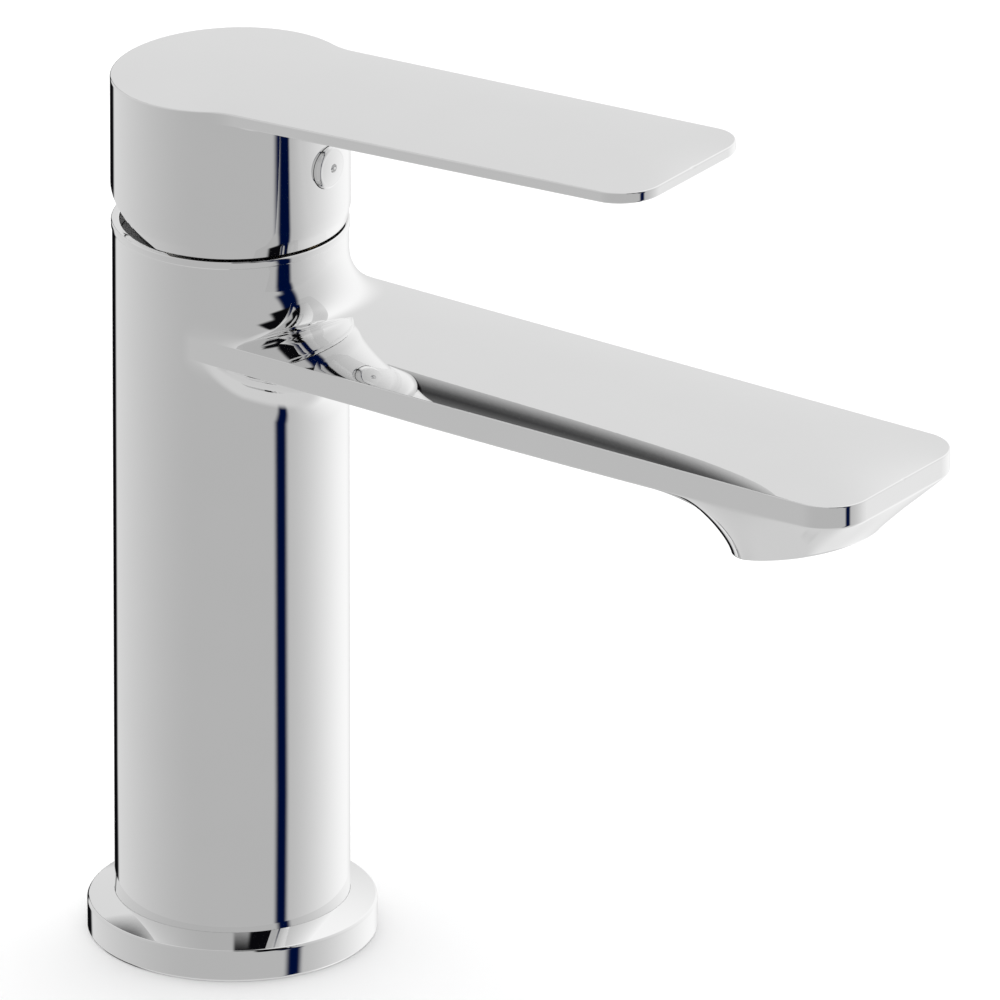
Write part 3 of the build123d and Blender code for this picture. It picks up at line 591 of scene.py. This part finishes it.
    spoke_end = rim_ring(0.0, LIP)
    gap = np.linalg.norm(spoke_end - spoke_start, axis=1)
    backness = 1 - smoothstep(spoke_start[:, 0], NOZZLE_X, NOZZLE_X + NOZZLE_TURN)
    arrive = (spoke_end - spoke_start) / gap[:, None]
    arrive = arrive * (1 - backness[:, None]) + MOUTH_OUT * backness[:, None]
    arrive /= np.linalg.norm(arrive, axis=1)[:, None]
    steps = np.linspace(0, 1, 29)[:, None, None]
    h00 = 2 * steps ** 3 - 3 * steps ** 2 + 1
    h10 = steps ** 3 - 2 * steps ** 2 + steps
    h01 = 1 - h00
    h11 = steps ** 3 - steps ** 2
    stretch = gap[:, None]
    nozzle = (h00 * spoke_start + h10 * spoke_leave * stretch * NOZZLE_PULL + h01 * spoke_end
              + h11 * arrive * stretch * NOZZLE_PULL)
    skin.patch(nozzle, ring=True)
    corner = spoke_end + arrive * LIP
    lip_end = rim_ring(LIP * 1.1, 0.0)
    lip = bend(spoke_end, corner, lip_end, 5)
    skin.patch(lip.transpose(1, 0, 2), ring=True)
    bore_edge = OUTLET + bore * (AERATOR + AERATOR_CHAMFER)
    face = np.stack([lip_end, bore_edge])
    skin.patch(face, MOUTH_OUT, ring=True)
    bore_top = OUTLET + bore * AERATOR - MOUTH_OUT * AERATOR_CHAMFER
    skin.patch(np.stack([bore_edge, bore_top]), ring=True)
    bore_wall = np.stack([bore_top, OUTLET + bore * AERATOR - MOUTH_OUT * AERATOR_DEPTH])
    skin.patch(bore_wall, -bore, ring=True)
    sizes = (AERATOR, AERATOR / 2, 0.0)
    floor = np.stack([OUTLET + bore * size - MOUTH_OUT * AERATOR_DEPTH for size in sizes])
    skin.patch(floor, MOUTH_OUT, ring=True)

    # rounded upper edge, wall and rounded lower edge all along the perimeter
    low_edge_z = perimeter(np.concatenate([under[:, 0, 2], ring_z[1:ends]]),
                           np.concatenate([[0], ring_z[ends:ends + ACROSS - 1], [0]]),
                           np.concatenate([under[:, -1, 2], ring_z[-ends:][::-1][1:]]))
    low_drop = perimeter(np.concatenate([edge_drop[:, 0], steep[1:ends]]),
                         np.concatenate([[0], steep[ends:ends + ACROSS - 1], [0]]),
                         np.concatenate([edge_drop[:, -1], steep[-ends:][::-1][1:]]))
    root_side = root_x[ACROSS: ACROSS + side_count + 1]
    root_loop = loop[ACROSS: ACROSS + side_count + 1]
    band = np.empty((len(in_xy), side_count + 1, 3))
    for spot in range(len(in_xy)):
        if pull_ring[spot] < 1:
            here = pull_ring[spot]
            xs = STRAIGHT_X * here + root_side * (1 - here)
        else:
            xs = np.full(side_count + 1, in_xy[spot, 0])
        start = np.array([0.0, top_edge[spot, 2]])
        control = np.array([BEVEL, top_edge[spot, 2] - BEVEL * fall[spot]])
        end = control - [0, BEVEL]
        low_end = np.array([0.0, low_edge_z[spot]])
        low_control = np.array([BEVEL, low_edge_z[spot] + BEVEL * low_drop[spot]])
        low_start = low_control + [0, BEVEL]
        first = rounded(start, control, end, part)
        last = rounded(low_start, low_control, low_end, part)
        rib = np.concatenate([first, np.linspace(end, low_start, WALL_STEPS + 1)[1:-1], last])
        if pull_ring[spot] == 0:
            rib = np.stack([root_loop[:, 0] - root_half, root_loop[:, 1]], 1)
        band[spot, :, 0] = xs + away[spot, 0] * rib[:, 0]
        band[spot, :, 1] = in_xy[spot, 1] + away[spot, 1] * rib[:, 0]
        band[spot, :, 2] = rib[:, 1]
    skin.patch(band[:, : ROUND_STEPS + 1])
    skin.patch(band[:, ROUND_STEPS: ROUND_STEPS + WALL_STEPS + 1])
    skin.patch(band[:, ROUND_STEPS + WALL_STEPS:])
    return skin.mesh("cast_body")


# ---------------------------------------------------------------- handle
CAP = 22.8
CAP_LOW, CAP_LOW_RADIUS = 146.8, 22.15
TAPER_TOP = 149.5
CAP_LIP, CAP_HOLLOW, CAP_ROOF = 18.4, 20.3, 172.5
NECK = 15.0
NECK_CENTRE = (14.94, 34.72)
NECK_TOUCH = (9.01, 20.94)
LEVER_END = 107.2
LEVER_HALF, LEVER_END_HALF = 19.72, 19.25
LEVER_CORNER = 8.0
LEVER_ACROSS = 48
BLADE = 2.1
HANDLE_CROWN = 3.0
HANDLE_BEVEL = 0.4
PLUG_Z = 162.0
PLUG_HOLE = 4.32
PLUG_FLOOR = 19.0
PLUG_WINDOW = 6.0
PLUG_WINDOW_ANGLE = math.radians(17)
BALL, BALL_X, BALL_Z = 28.72, 4.94, 164.1
NECK_ANGLE = math.atan2(NECK_TOUCH[1], NECK_TOUCH[0])
NECK_FADE = math.radians(26.7)
LEVER_LOW_BEVEL = 0.35
LEVER_FILLET = 3.0
LEVER_RISE = 0.055
HANDLE_SPAN = 19.5
TOP_RISE = 0.1
CAP_DROP, CAP_DROP_TURNS = 1.2, (86, 99)
TILT_CUT, TILT_CUT_CHANGE = 141.85, 9.33
RIM_GAP, RIM_LIFT = 0.25, 0.3
BACK_SPREAD, SIDE_SPREAD, SPREAD_TURNS = 0.5, 12, (84, 98)
LIP_HEIGHT, HOLLOW_HEIGHT = 1.5, 6.0


def lever_edge(x):
    """Height of the lever's upper edge, which rises forward in a long curve."""
    return 176.35 + 0.0505 * x + 0.0055 * np.sqrt(x * x + 100) - 0.055


def lever_low(x):
    """Height of the lever's underside."""
    return lever_edge(x) - BLADE - 0.1 + 0.0015 * np.clip(x, 0, None)


def handle_shell():
    """Cap and lever as one skin, open below, with the hole for the button."""
    skin = Skin()
    share = np.linspace(-1, 1, LEVER_ACROSS + 1)
    neck_start = math.atan2(NECK_TOUCH[0] - NECK_CENTRE[0], NECK_CENTRE[1] - NECK_TOUCH[1])
    neck_turn = np.linspace(neck_start, 0, 9)[1:]
    side_x = np.concatenate([[NECK_CENTRE[0] + 1.2], np.linspace(18, LEVER_END - LEVER_CORNER, 44)])
    lean = np.linspace(0, math.pi / 2, 15)[1:]

    def stations(inset):
        cap_angle = np.linspace(math.pi / 2, NECK_ANGLE, 6)
        x = np.concatenate([(CAP - inset) * np.cos(cap_angle),
                            NECK_CENTRE[0] + (NECK + inset) * np.sin(neck_turn), side_x,
                            LEVER_END - LEVER_CORNER + (LEVER_CORNER - inset) * np.sin(lean)])
        side_part = (side_x - NECK_CENTRE[0]) / (LEVER_END - NECK_CENTRE[0])
        side_half = LEVER_HALF + (LEVER_END_HALF - LEVER_HALF) * side_part
        half = np.concatenate([(CAP - inset) * np.sin(cap_angle),
                               NECK_CENTRE[1] - (NECK + inset) * np.cos(neck_turn), side_half - inset,
                               side_half[-1] - LEVER_CORNER + (LEVER_CORNER - inset) * np.cos(lean)])
        outward = np.concatenate([np.stack([np.cos(cap_angle), np.sin(cap_angle)], 1),
                                  np.stack([-np.sin(neck_turn), np.cos(neck_turn)], 1),
                                  np.tile([0.0, 1.0], (len(side_x), 1)),
                                  np.stack([np.sin(lean), np.cos(lean)], 1)])
        return x, half, outward

    inner_x, inner_half, outward = stations(HANDLE_BEVEL)
    outer_x, outer_half, _ = stations(0)
    rows = len(inner_x)
    strip = np.stack([np.repeat(inner_x[:, None], LEVER_ACROSS + 1, 1), share[None] * inner_half[:, None]], 2)
    back_turn = np.linspace(math.pi / 2, 3 * math.pi / 2, 49)
    rings = np.linspace(0, 1, LEVER_ACROSS // 2 + 1) * (CAP - HANDLE_BEVEL)
    disc = np.stack([rings[:, None] * np.cos(back_turn), rings[:, None] * np.sin(back_turn)], 2)
    disc[:, 0, 0] = 0
    disc[:, -1, 0] = 0
    strip_pin = np.full(strip.shape[:2], np.nan)
    strip_pin[:, 0] = 0
    strip_pin[:, -1] = 0
    strip_pin[-1] = 0
    disc_pin = np.full(disc.shape[:2], np.nan)
    disc_pin[-1] = 0
    lift = membrane([strip, disc], [strip_pin, disc_pin], 2 * HANDLE_CROWN / HANDLE_SPAN ** 2)
    strip_top = np.concatenate([strip, (lift[0] + lever_edge(strip[..., 0]) + TOP_RISE)[..., None]], 2)
    disc_top = np.concatenate([disc, (lift[1] + lever_edge(disc[..., 0]) + TOP_RISE)[..., None]], 2)
    strip_n = slopes(strip_top)
    strip_n *= np.sign(strip_n[..., 2:])
    disc_n = slopes(disc_top)
    disc_n *= np.sign(disc_n[..., 2:])
    disc_n[0] = strip_n[0, LEVER_ACROSS // 2]
    skin.patch(strip_top, strip_n)
    skin.patch(disc_top, disc_n)

    # closed perimeter: right side, end, left side, then the back half of the cap
    def closed(right, front, left, back):
        return np.concatenate([right, front[1:-1], left[::-1], back[1:-1]])

    flip = np.array([1, -1])
    inner = closed(strip[:, 0], strip[-1], strip[:, -1], disc[-1])
    outer_right = np.stack([outer_x, -outer_half], 1)
    outer_left = np.stack([outer_x, outer_half], 1)
    outer_front = np.stack([np.full(LEVER_ACROSS + 1, LEVER_END), share * outer_half[-1]], 1)
    outer_back = CAP * np.stack([np.cos(back_turn), np.sin(back_turn)], 1)
    outer = closed(outer_right, outer_front, outer_left, outer_back)
    away = closed(outward * flip, np.tile([1.0, 0], (LEVER_ACROSS + 1, 1)), outward, outer_back / CAP)
    top_ring = closed(strip_top[:, 0], strip_top[-1], strip_top[:, -1], disc_top[-1])
    ring_n = closed(strip_n[:, 0], strip_n[-1], strip_n[:, -1], disc_n[-1])
    fall = np.sum(ring_n[:, :2] * away, 1) / ring_n[:, 2]
    count = len(inner)
    front_count = 2 * rows + LEVER_ACROSS - 1
    turned = np.arctan2(outer[:, 1], outer[:, 0])
    first_front = 5
    on_front = np.zeros(count, bool)
    on_front[first_front: front_count - first_front] = True

    control = np.concatenate([outer, (top_ring[:, 2] - HANDLE_BEVEL * fall)[:, None]], 1)
    wall_top = control - [0, 0, HANDLE_BEVEL]
    bevel = bend(top_ring, control, wall_top, 7).transpose(1, 0, 2)
    skin.patch(bevel, ring=True)
    fade = np.sin(np.clip((NECK_ANGLE - np.abs(turned)) / NECK_FADE, 0, 1) * math.pi / 2) ** 4
    fade = np.where(on_front, fade, 0)
    low_bevel = LEVER_LOW_BEVEL * fade
    fillet = LEVER_FILLET * fade
    low_z = lever_low(outer[:, 0])
    wall_low = np.concatenate([outer, (low_z + low_bevel)[:, None]], 1)
    steps = np.linspace(0, 1, 5)[:, None, None]
    away3 = np.concatenate([away, np.zeros((count, 1))], 1)
    skin.patch(wall_top * (1 - steps) + wall_low * steps, away3, ring=True)

    # underside of the lever: rounded edge, radial grid and the fillet into the cap
    front = slice(first_front, front_count - first_front)
    f_turn = turned[front]
    f_outer = outer[front]
    f_low = low_bevel[front]
    spoke = np.stack([np.cos(f_turn), np.sin(f_turn)], 1)
    f_start = f_outer - away[front] * f_low[:, None]
    under_start = np.concatenate([f_start, lever_low(f_start[:, 0])[:, None]], 1)
    edge_control = np.concatenate([f_outer, lever_low(f_outer[:, 0])[:, None]], 1)
    skin.patch(bend(wall_low[front], edge_control, under_start, 6).transpose(1, 0, 2))
    near = spoke * (CAP + fillet[front])[:, None]
    steps = np.linspace(0, 1, 37)[:, None, None]
    fan = f_start * (1 - steps) + near * steps
    fan = np.concatenate([fan, lever_low(fan[..., 0])[..., None]], 2)
    skin.patch(fan, np.array([LEVER_RISE, 0, -1.0]) / math.hypot(LEVER_RISE, 1))
    swing = np.linspace(0, math.pi / 2, 9)[:, None]
    radius = fillet[front][None]
    away_reach = CAP + radius * (1 - np.sin(swing))
    drop = radius * (1 - np.cos(swing))
    bow = np.stack([away_reach * spoke[:, 0], away_reach * spoke[:, 1],
                    lever_low(near[:, 0])[None] - drop], 2)
    bow_n = np.stack([np.sin(swing) * spoke[:, 0], np.sin(swing) * spoke[:, 1],
                      -np.cos(swing) * np.ones_like(f_turn)[None]], 2)
    skin.patch(bow, bow_n)

    # cap wall below, with a window round the plug's hole
    wall_start = low_z + low_bevel
    wall_start[front] = bow[-1, :, 2]
    around = level(turned)
    inside = np.flatnonzero(np.abs(turned) < PLUG_WINDOW_ANGLE)
    first, last = inside[0], inside[-1]
    high, low = PLUG_Z + PLUG_WINDOW, PLUG_Z - PLUG_WINDOW
    steps = np.linspace(0, 1, 4)[:, None]
    skin.patch(at_height(around, CAP, wall_start * (1 - steps) + high * steps), around, ring=True)
    window_rows = 12
    keep = np.concatenate([np.arange(last, count), np.arange(0, first + 1)])
    rows_z = np.linspace(high, low, window_rows + 1)
    skin.patch(at_height(around[keep], CAP, rows_z[:, None]), around[keep])
    window_turn = turned[first:last + 1]
    frame_turn = np.concatenate([window_turn, np.full(window_rows - 1, window_turn[-1]), window_turn[::-1],
                                 np.full(window_rows - 1, window_turn[0])])
    frame_z = np.concatenate([np.full(len(window_turn), high), rows_z[1:-1], np.full(len(window_turn), low),
                              rows_z[1:-1][::-1]])
    bearing = np.arctan2(frame_z - PLUG_Z, frame_turn * CAP)
    hole_y = PLUG_HOLE * np.cos(bearing)
    hole_z = PLUG_Z + PLUG_HOLE * np.sin(bearing)
    hole_turn = np.arcsin(hole_y / CAP)
    steps = np.linspace(0, 1, 7)[:, None]
    turn_grid = hole_turn * (1 - steps) + frame_turn * steps
    grid = at_height(level(turn_grid), CAP, hole_z * (1 - steps) + frame_z * steps)
    skin.patch(grid, level(turn_grid), ring=True)
    rim = grid[0]
    deep = rim.copy()
    deep[:, 0] = PLUG_FLOOR
    inward = np.stack([np.zeros_like(bearing), -np.cos(bearing), -np.sin(bearing)], 1)
    skin.patch(np.stack([rim, deep]), inward, ring=True)
    floor = np.stack([deep, np.broadcast_to(np.array([PLUG_FLOOR, 0, PLUG_Z]), deep.shape)])
    skin.patch(floor, (1.0, 0, 0), ring=True)

    # lower part of the cap: taper, clearance for tilting, bottom edge, hollow inside
    cos_turn = np.cos(turned)

    def ball_reach(z):
        inside = BALL ** 2 - (z - BALL_Z) ** 2 - BALL_X ** 2 + (BALL_X * cos_turn) ** 2
        return BALL_X * cos_turn + np.sqrt(np.clip(inside, 0, None))

    def taper_reach(z):
        return CAP - (CAP - CAP_LOW_RADIUS) * np.clip((TAPER_TOP - z) / (TAPER_TOP - CAP_LOW), 0, 1)

    def meeting_height(spot):
        """Height where the ball's reach gets smaller than the taper's, or else the cap's lower edge."""
        above = TAPER_TOP
        for below in np.linspace(TAPER_TOP, CAP_LOW, 200)[::20]:
            if ball_reach(below)[spot] < taper_reach(below):
                break
            above = below
        else:
            return CAP_LOW
        for _ in range(30):
            middle = (above + below) / 2
            if ball_reach(middle)[spot] < taper_reach(middle):
                below = middle
            else:
                above = middle
        return (above + below) / 2

    inside_ball = BALL ** 2 - (CAP ** 2 - 2 * BALL_X * CAP * cos_turn + BALL_X ** 2)
    ball_at_wall = BALL_Z - np.sqrt(np.clip(inside_ball, 0, None))
    break_one = np.maximum(TAPER_TOP, ball_at_wall)
    side_turn = np.degrees(np.abs(turned))
    bottom = np.maximum(CAP_LOW - CAP_DROP * smoothstep(side_turn, *CAP_DROP_TURNS),
                        TILT_CUT - TILT_CUT_CHANGE * cos_turn)
    rim_play = BACK_SPREAD + SIDE_SPREAD * (1 - smoothstep(side_turn, *SPREAD_TURNS))
    break_two = break_one.copy()
    for spot in np.flatnonzero(ball_at_wall < TAPER_TOP):
        break_two[spot] = meeting_height(spot)
    break_two = np.maximum(break_two, bottom)
    steps = np.linspace(0, 1, 4)[:, None]
    skin.patch(at_height(around, CAP, low * (1 - steps) + break_one * steps), around, ring=True)
    rows_z = break_one * (1 - steps) + break_two * steps
    reach = taper_reach(rows_z)
    reach[0] = CAP
    taper_n = around.copy()
    taper_n[:, 2] = -(CAP - CAP_LOW_RADIUS) / (TAPER_TOP - CAP_LOW)
    taper_n /= np.linalg.norm(taper_n, axis=1)[:, None]
    skin.patch(at_height(around, reach[..., None], rows_z), taper_n, ring=True)
    join = reach[-1]
    steps = np.linspace(0, 1, 9)[:, None]
    rows_z = break_two * (1 - steps) + bottom * steps
    reach = np.array([ball_reach(z) for z in rows_z])
    reach = np.minimum(reach, taper_reach(rows_z))
    reach = np.minimum(reach, RIM_BORE - RIM_GAP + rim_play * np.clip(rows_z - RIM_TOP - RIM_LIFT, 0, None))
    reach[0] = join
    grid = at_height(around, reach[..., None], rows_z)
    normal = grid - np.array([BALL_X, 0, BALL_Z])
    normal /= np.linalg.norm(normal, axis=2)[..., None]
    skin.patch(grid, normal, ring=True)
    inner_low = at_height(around, CAP_LIP, bottom)
    skin.patch(np.stack([grid[-1], inner_low]), (0, 0, -1.0), ring=True)
    inner_mid = at_height(around, CAP_LIP, bottom + LIP_HEIGHT)
    skin.patch(np.stack([inner_low, inner_mid]), -around, ring=True)
    inner_wide = at_height(around, CAP_HOLLOW, bottom + HOLLOW_HEIGHT)
    skin.patch(np.stack([inner_mid, inner_wide]), ring=True)
    inner_high = at_height(around, CAP_HOLLOW, CAP_ROOF)
    skin.patch(np.stack([inner_wide, inner_high]), -around, ring=True)
    roof = np.stack([inner_high, inner_high * [0.5, 0.5, 1], inner_high * [0, 0, 1]])
    skin.patch(roof, (0, 0, -1.0), ring=True)
    return skin.mesh("lever_cap")


def forward_axis(vectors, shift=True):
    """Turns a revolved grid so that its axis runs along +X through the plug's centre."""
    turned = np.stack([vectors[..., 2], vectors[..., 0], vectors[..., 1]], -1)
    if shift:
        turned = turned + np.array([0, 0, PLUG_Z])
    return turned


PLUG_FRONT = 24.1
PLUG_DOME = 0.28
PLUG_FACE = 3.4
DIMPLE, DIMPLE_DEPTH = 1.05, 0.6
FOOT = 27.7


def plug():
    """Domed button with a dimple in its middle."""
    skin = Skin()

    def dome_at(radius):
        return PLUG_FRONT - PLUG_DOME * (radius / PLUG_FACE) ** 2

    dome = np.array([(radius, dome_at(radius)) for radius in np.linspace(PLUG_FACE, DIMPLE, 12)])
    face_edge = [(PLUG_FACE, PLUG_FRONT - PLUG_DOME, 0), (PLUG_FACE - 0.01, PLUG_FRONT - 0.279, 0)]
    edge = run_of([(0.0, 19.1, 0), (4.2, 19.1, 0.2), (4.2, PLUG_FRONT - 0.3, 0.75)] + face_edge, 10)[:-1]
    hollow = run_of([(DIMPLE, dome_at(DIMPLE), 0), (0.85, PLUG_FRONT - 0.03, 0.12),
                     (0.72, PLUG_FRONT - DIMPLE_DEPTH, 0.25), (0.0, PLUG_FRONT - DIMPLE_DEPTH, 0)], 6)
    skin.turn(edge + [dome] + hollow, np.linspace(0, FULL_TURN, 97)[:-1], forward_axis)
    return skin.mesh("button")


def flange():
    """Round foot with a sloping top that ends at the column."""
    skin = Skin()
    profile = run_of([(COLUMN, 0.2, 0), (COLUMN, 0.0, 0.1), (FOOT - 0.4, 0.0, 0.25), (FOOT, 0.5, 0.3),
                      (FOOT, 5.95, 0.5), (FOOT - 0.35, 6.42, 0.5), (COLUMN + 0.02, 8.05, 0),
                      (COLUMN, 0.2, 0)], 8)
    skin.turn(profile, np.linspace(0, FULL_TURN, 193)[:-1])
    return skin.mesh("foot_ring")


# ---------------------------------------------------------------- materials
def shader(name, color, metallic, rough, grain, bump, spread=0.03, coat=0.0):
    """Principled material with fine procedural variation of colour, gloss and relief."""
    material = bpy.data.materials.new(name)
    material.use_nodes = True
    nodes, links = material.node_tree.nodes, material.node_tree.links
    nodes.clear()
    out = nodes.new("ShaderNodeOutputMaterial")
    base = nodes.new("ShaderNodeBsdfPrincipled")
    base.inputs["Metallic"].default_value = metallic
    base.inputs["Coat Weight"].default_value = coat
    links.new(base.outputs[0], out.inputs[0])
    place = nodes.new("ShaderNodeTexCoord")
    cloud = nodes.new("ShaderNodeTexNoise")
    cloud.inputs["Scale"].default_value = grain
    cloud.inputs["Detail"].default_value = 4
    links.new(place.outputs["Object"], cloud.inputs["Vector"])
    fine = nodes.new("ShaderNodeTexNoise")
    fine.inputs["Scale"].default_value = grain * 14
    fine.inputs["Detail"].default_value = 3
    links.new(place.outputs["Object"], fine.inputs["Vector"])
    ramp = nodes.new("ShaderNodeValToRGB")
    dark = [channel * (1 - spread) for channel in color]
    ramp.color_ramp.elements[0].position = 0.3
    ramp.color_ramp.elements[0].color = (*dark, 1)
    ramp.color_ramp.elements[1].position = 0.7
    ramp.color_ramp.elements[1].color = (*color, 1)
    links.new(cloud.outputs["Fac"], ramp.inputs["Fac"])
    links.new(ramp.outputs["Color"], base.inputs["Base Color"])
    gloss = nodes.new("ShaderNodeMapRange")
    gloss.inputs["From Min"].default_value = 0.3
    gloss.inputs["From Max"].default_value = 0.7
    gloss.inputs["To Min"].default_value = rough * 0.7
    gloss.inputs["To Max"].default_value = rough * 1.3
    links.new(fine.outputs["Fac"], gloss.inputs["Value"])
    links.new(gloss.outputs["Result"], base.inputs["Roughness"])
    relief = nodes.new("ShaderNodeBump")
    relief.inputs["Strength"].default_value = bump
    relief.inputs["Distance"].default_value = 0.0002
    links.new(fine.outputs["Fac"], relief.inputs["Height"])
    links.new(relief.outputs["Normal"], base.inputs["Normal"])
    return material


MATERIALS = {
    "chrome": shader("polished_chrome", (0.93, 0.93, 0.93), 1.0, 0.022, 60, 0.004, 0.012),
    "rubber": shader("black_rubber", (0.028, 0.028, 0.03), 0.0, 0.62, 300, 0.25, 0.3),
    "brass": shader("machined_brass", (0.80, 0.58, 0.26), 1.0, 0.24, 400, 0.08, 0.1),
    "white_plastic": shader("white_acetal", (0.82, 0.82, 0.78), 0.0, 0.42, 200, 0.08, 0.05),
    "grey_plastic": shader("grey_nylon", (0.33, 0.34, 0.36), 0.0, 0.48, 220, 0.12, 0.12),
    "black_plastic": shader("black_nylon", (0.02, 0.02, 0.022), 0.0, 0.4, 220, 0.12, 0.2),
    "ceramic": shader("lapped_ceramic", (0.88, 0.87, 0.83), 0.0, 0.16, 150, 0.03, 0.03, 0.4),
    "steel": shader("turned_steel", (0.62, 0.62, 0.63), 1.0, 0.26, 420, 0.07, 0.08),
}
for entry in frame["record"]["subparts"]:
    node = frame["nodes"][entry["node"]]
    for place in node.material_slots:
        place.material = MATERIALS[entry["material_slot"]]

for make, body, node in ((body_shell, "body", "body_casting"), (flange, "body", "base_flange"),
                         (handle_shell, "lever", "handle"), (plug, "lever", "index_plug")):
    piece = make()
    piece.data.materials.append(MATERIALS["chrome"])
    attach(piece, body)
    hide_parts(node)

# ---------------------------------------------------------------- studio
scene = bpy.context.scene
scene.view_settings.view_transform = "Standard"
floor_mesh = bpy.data.meshes.new("studio_floor")
SIZE = 6.0
floor_corners = [(-SIZE, -SIZE, 0), (SIZE, -SIZE, 0), (SIZE, SIZE, 0), (-SIZE, SIZE, 0)]
floor_mesh.from_pydata(floor_corners, [], [(0, 1, 2, 3)])
floor = bpy.data.objects.new("studio_floor", floor_mesh)
scene.collection.objects.link(floor)
floor.data.materials.append(shader("pale_floor", (0.93, 0.93, 0.93), 0.0, 0.9, 3, 0.0, 0.01))
floor.visible_glossy = False

lamp_data = bpy.data.lights.new("soft_overhead", "SUN")
lamp_data.energy = 2.2
lamp_data.angle = math.radians(120)
lamp = bpy.data.objects.new("soft_overhead", lamp_data)
lamp.visible_glossy = False
scene.collection.objects.link(lamp)

CAMERA_TURN = math.radians(35.4)
CAMERA_RISE = math.radians(23.1)
world = bpy.data.worlds.new("studio")
scene.world = world
world.use_nodes = True
nodes, links = world.node_tree.nodes, world.node_tree.links
nodes.clear()
out = nodes.new("ShaderNodeOutputWorld")
back = nodes.new("ShaderNodeBackground")
links.new(back.outputs[0], out.inputs[0])
place = nodes.new("ShaderNodeTexCoord")
turn = nodes.new("ShaderNodeVectorRotate")
turn.rotation_type = "Z_AXIS"
turn.inputs["Angle"].default_value = math.pi / 2 - CAMERA_TURN
links.new(place.outputs["Generated"], turn.inputs["Vector"])
split = nodes.new("ShaderNodeSeparateXYZ")
links.new(turn.outputs[0], split.inputs[0])
angle = nodes.new("ShaderNodeMath")
angle.operation = "ARCTAN2"
links.new(split.outputs["Y"], angle.inputs[0])
links.new(split.outputs["X"], angle.inputs[1])
part = nodes.new("ShaderNodeMath")
part.operation = "MULTIPLY_ADD"
links.new(angle.outputs[0], part.inputs[0])
part.inputs[1].default_value = 1 / FULL_TURN
part.inputs[2].default_value = 0.5


def ramp_of(stops):
    """Level over the direction round the room, from (degrees, level) stops with eased passages."""
    ramp = nodes.new("ShaderNodeValToRGB")
    ramp.color_ramp.interpolation = "EASE"
    elements = ramp.color_ramp.elements
    elements.remove(elements[0])
    elements[0].position = stops[0][0] / 360 + 0.5
    for degrees, _ in stops[1:]:
        elements.new(degrees / 360 + 0.5)
    for element, (_, level) in zip(elements, stops):
        element.color = (level, level, level, 1)
    links.new(part.outputs[0], ramp.inputs["Fac"])
    return ramp.outputs["Color"]


def mixed(factor, under, over):
    """Colour that passes from under to over as the factor goes from 0 to 1."""
    mix = nodes.new("ShaderNodeMix")
    mix.data_type = "RGBA"
    links.new(factor, mix.inputs["Factor"])
    for socket, color in ((6, under), (7, over)):
        if isinstance(color, tuple):
            mix.inputs[socket].default_value = color
        else:
            links.new(color, mix.inputs[socket])
    return mix.outputs[2]


def fade(low, high, under, over):
    """Colour that passes from under to over as the direction's height passes from low to high."""
    rise = nodes.new("ShaderNodeMapRange")
    rise.interpolation_type = "SMOOTHSTEP"
    rise.inputs["From Min"].default_value = low
    rise.inputs["From Max"].default_value = high
    links.new(split.outputs["Z"], rise.inputs["Value"])
    return mixed(rise.outputs["Result"], under, over)


def room_with(panels):
    """The room's walls with dark upright panels, each (first degree, last degree, soft edge, colour)."""
    color = walls
    for first, last, soft, shade in panels:
        mask = ramp_of([(first - soft, 0), (first, 1), (last, 1), (last + soft, 0)])
        color = mixed(mask, color, shade)
    return color


# a pale room, dim behind the camera and brightest beyond the object on the right, with two dark panels:
# the left one is wide only low down, and the right one reaches further round the higher it goes
DIM, PALE, BRIGHT = 0.48, 0.75, 1.0
NAVY = (0.0, 0.004, 0.035, 1)
DARK = (0.003, 0.003, 0.004, 1)
GREY = (0.65, 0.65, 0.65, 1)
PANEL_END = 53
walls = ramp_of([(-180, PALE), (-30, DIM), (40, DIM), (150, BRIGHT), (180, PALE)])
low_room = room_with([(-170, -154, 7, DARK), (47, PANEL_END, 6, NAVY)])
mid_room = room_with([(-155, -153, 2, DARK), (40, PANEL_END, 6, NAVY)])
high_room = room_with([(-155, -153, 2, DARK), (25, PANEL_END, 6, DARK)])
top_room = room_with([(-155, -153, 2, DARK), (5, PANEL_END, 6, DARK)])
ground = fade(-0.9, -0.75, GREY, low_room)
around_room = fade(-0.12, 0.08, ground, mid_room)
upper = fade(0.56, 0.64, around_room, high_room)
ceiling = fade(0.78, 0.86, upper, top_room)
links.new(fade(0.975, 0.995, ceiling, GREY), back.inputs["Color"])

TARGET = Vector((62.6, 0.0, 103.4)) * MM
camera_data = bpy.data.cameras.new("camera")
camera_data.lens = 1500
camera_data.sensor_width = 36
FRAME_WIDTH = 0.1890
distance = FRAME_WIDTH / (camera_data.sensor_width / camera_data.lens)
camera_data.clip_start = 0.1
camera_data.clip_end = 100
camera = bpy.data.objects.new("camera", camera_data)
scene.collection.objects.link(camera)
away = Vector((math.sin(CAMERA_TURN) * math.cos(CAMERA_RISE), -math.cos(CAMERA_TURN) * math.cos(CAMERA_RISE),
               math.sin(CAMERA_RISE)))
camera.location = TARGET + away * distance
camera.rotation_mode = "QUATERNION"
camera.rotation_quaternion = away.to_track_quat("Z", "Y")
scene.camera = camera
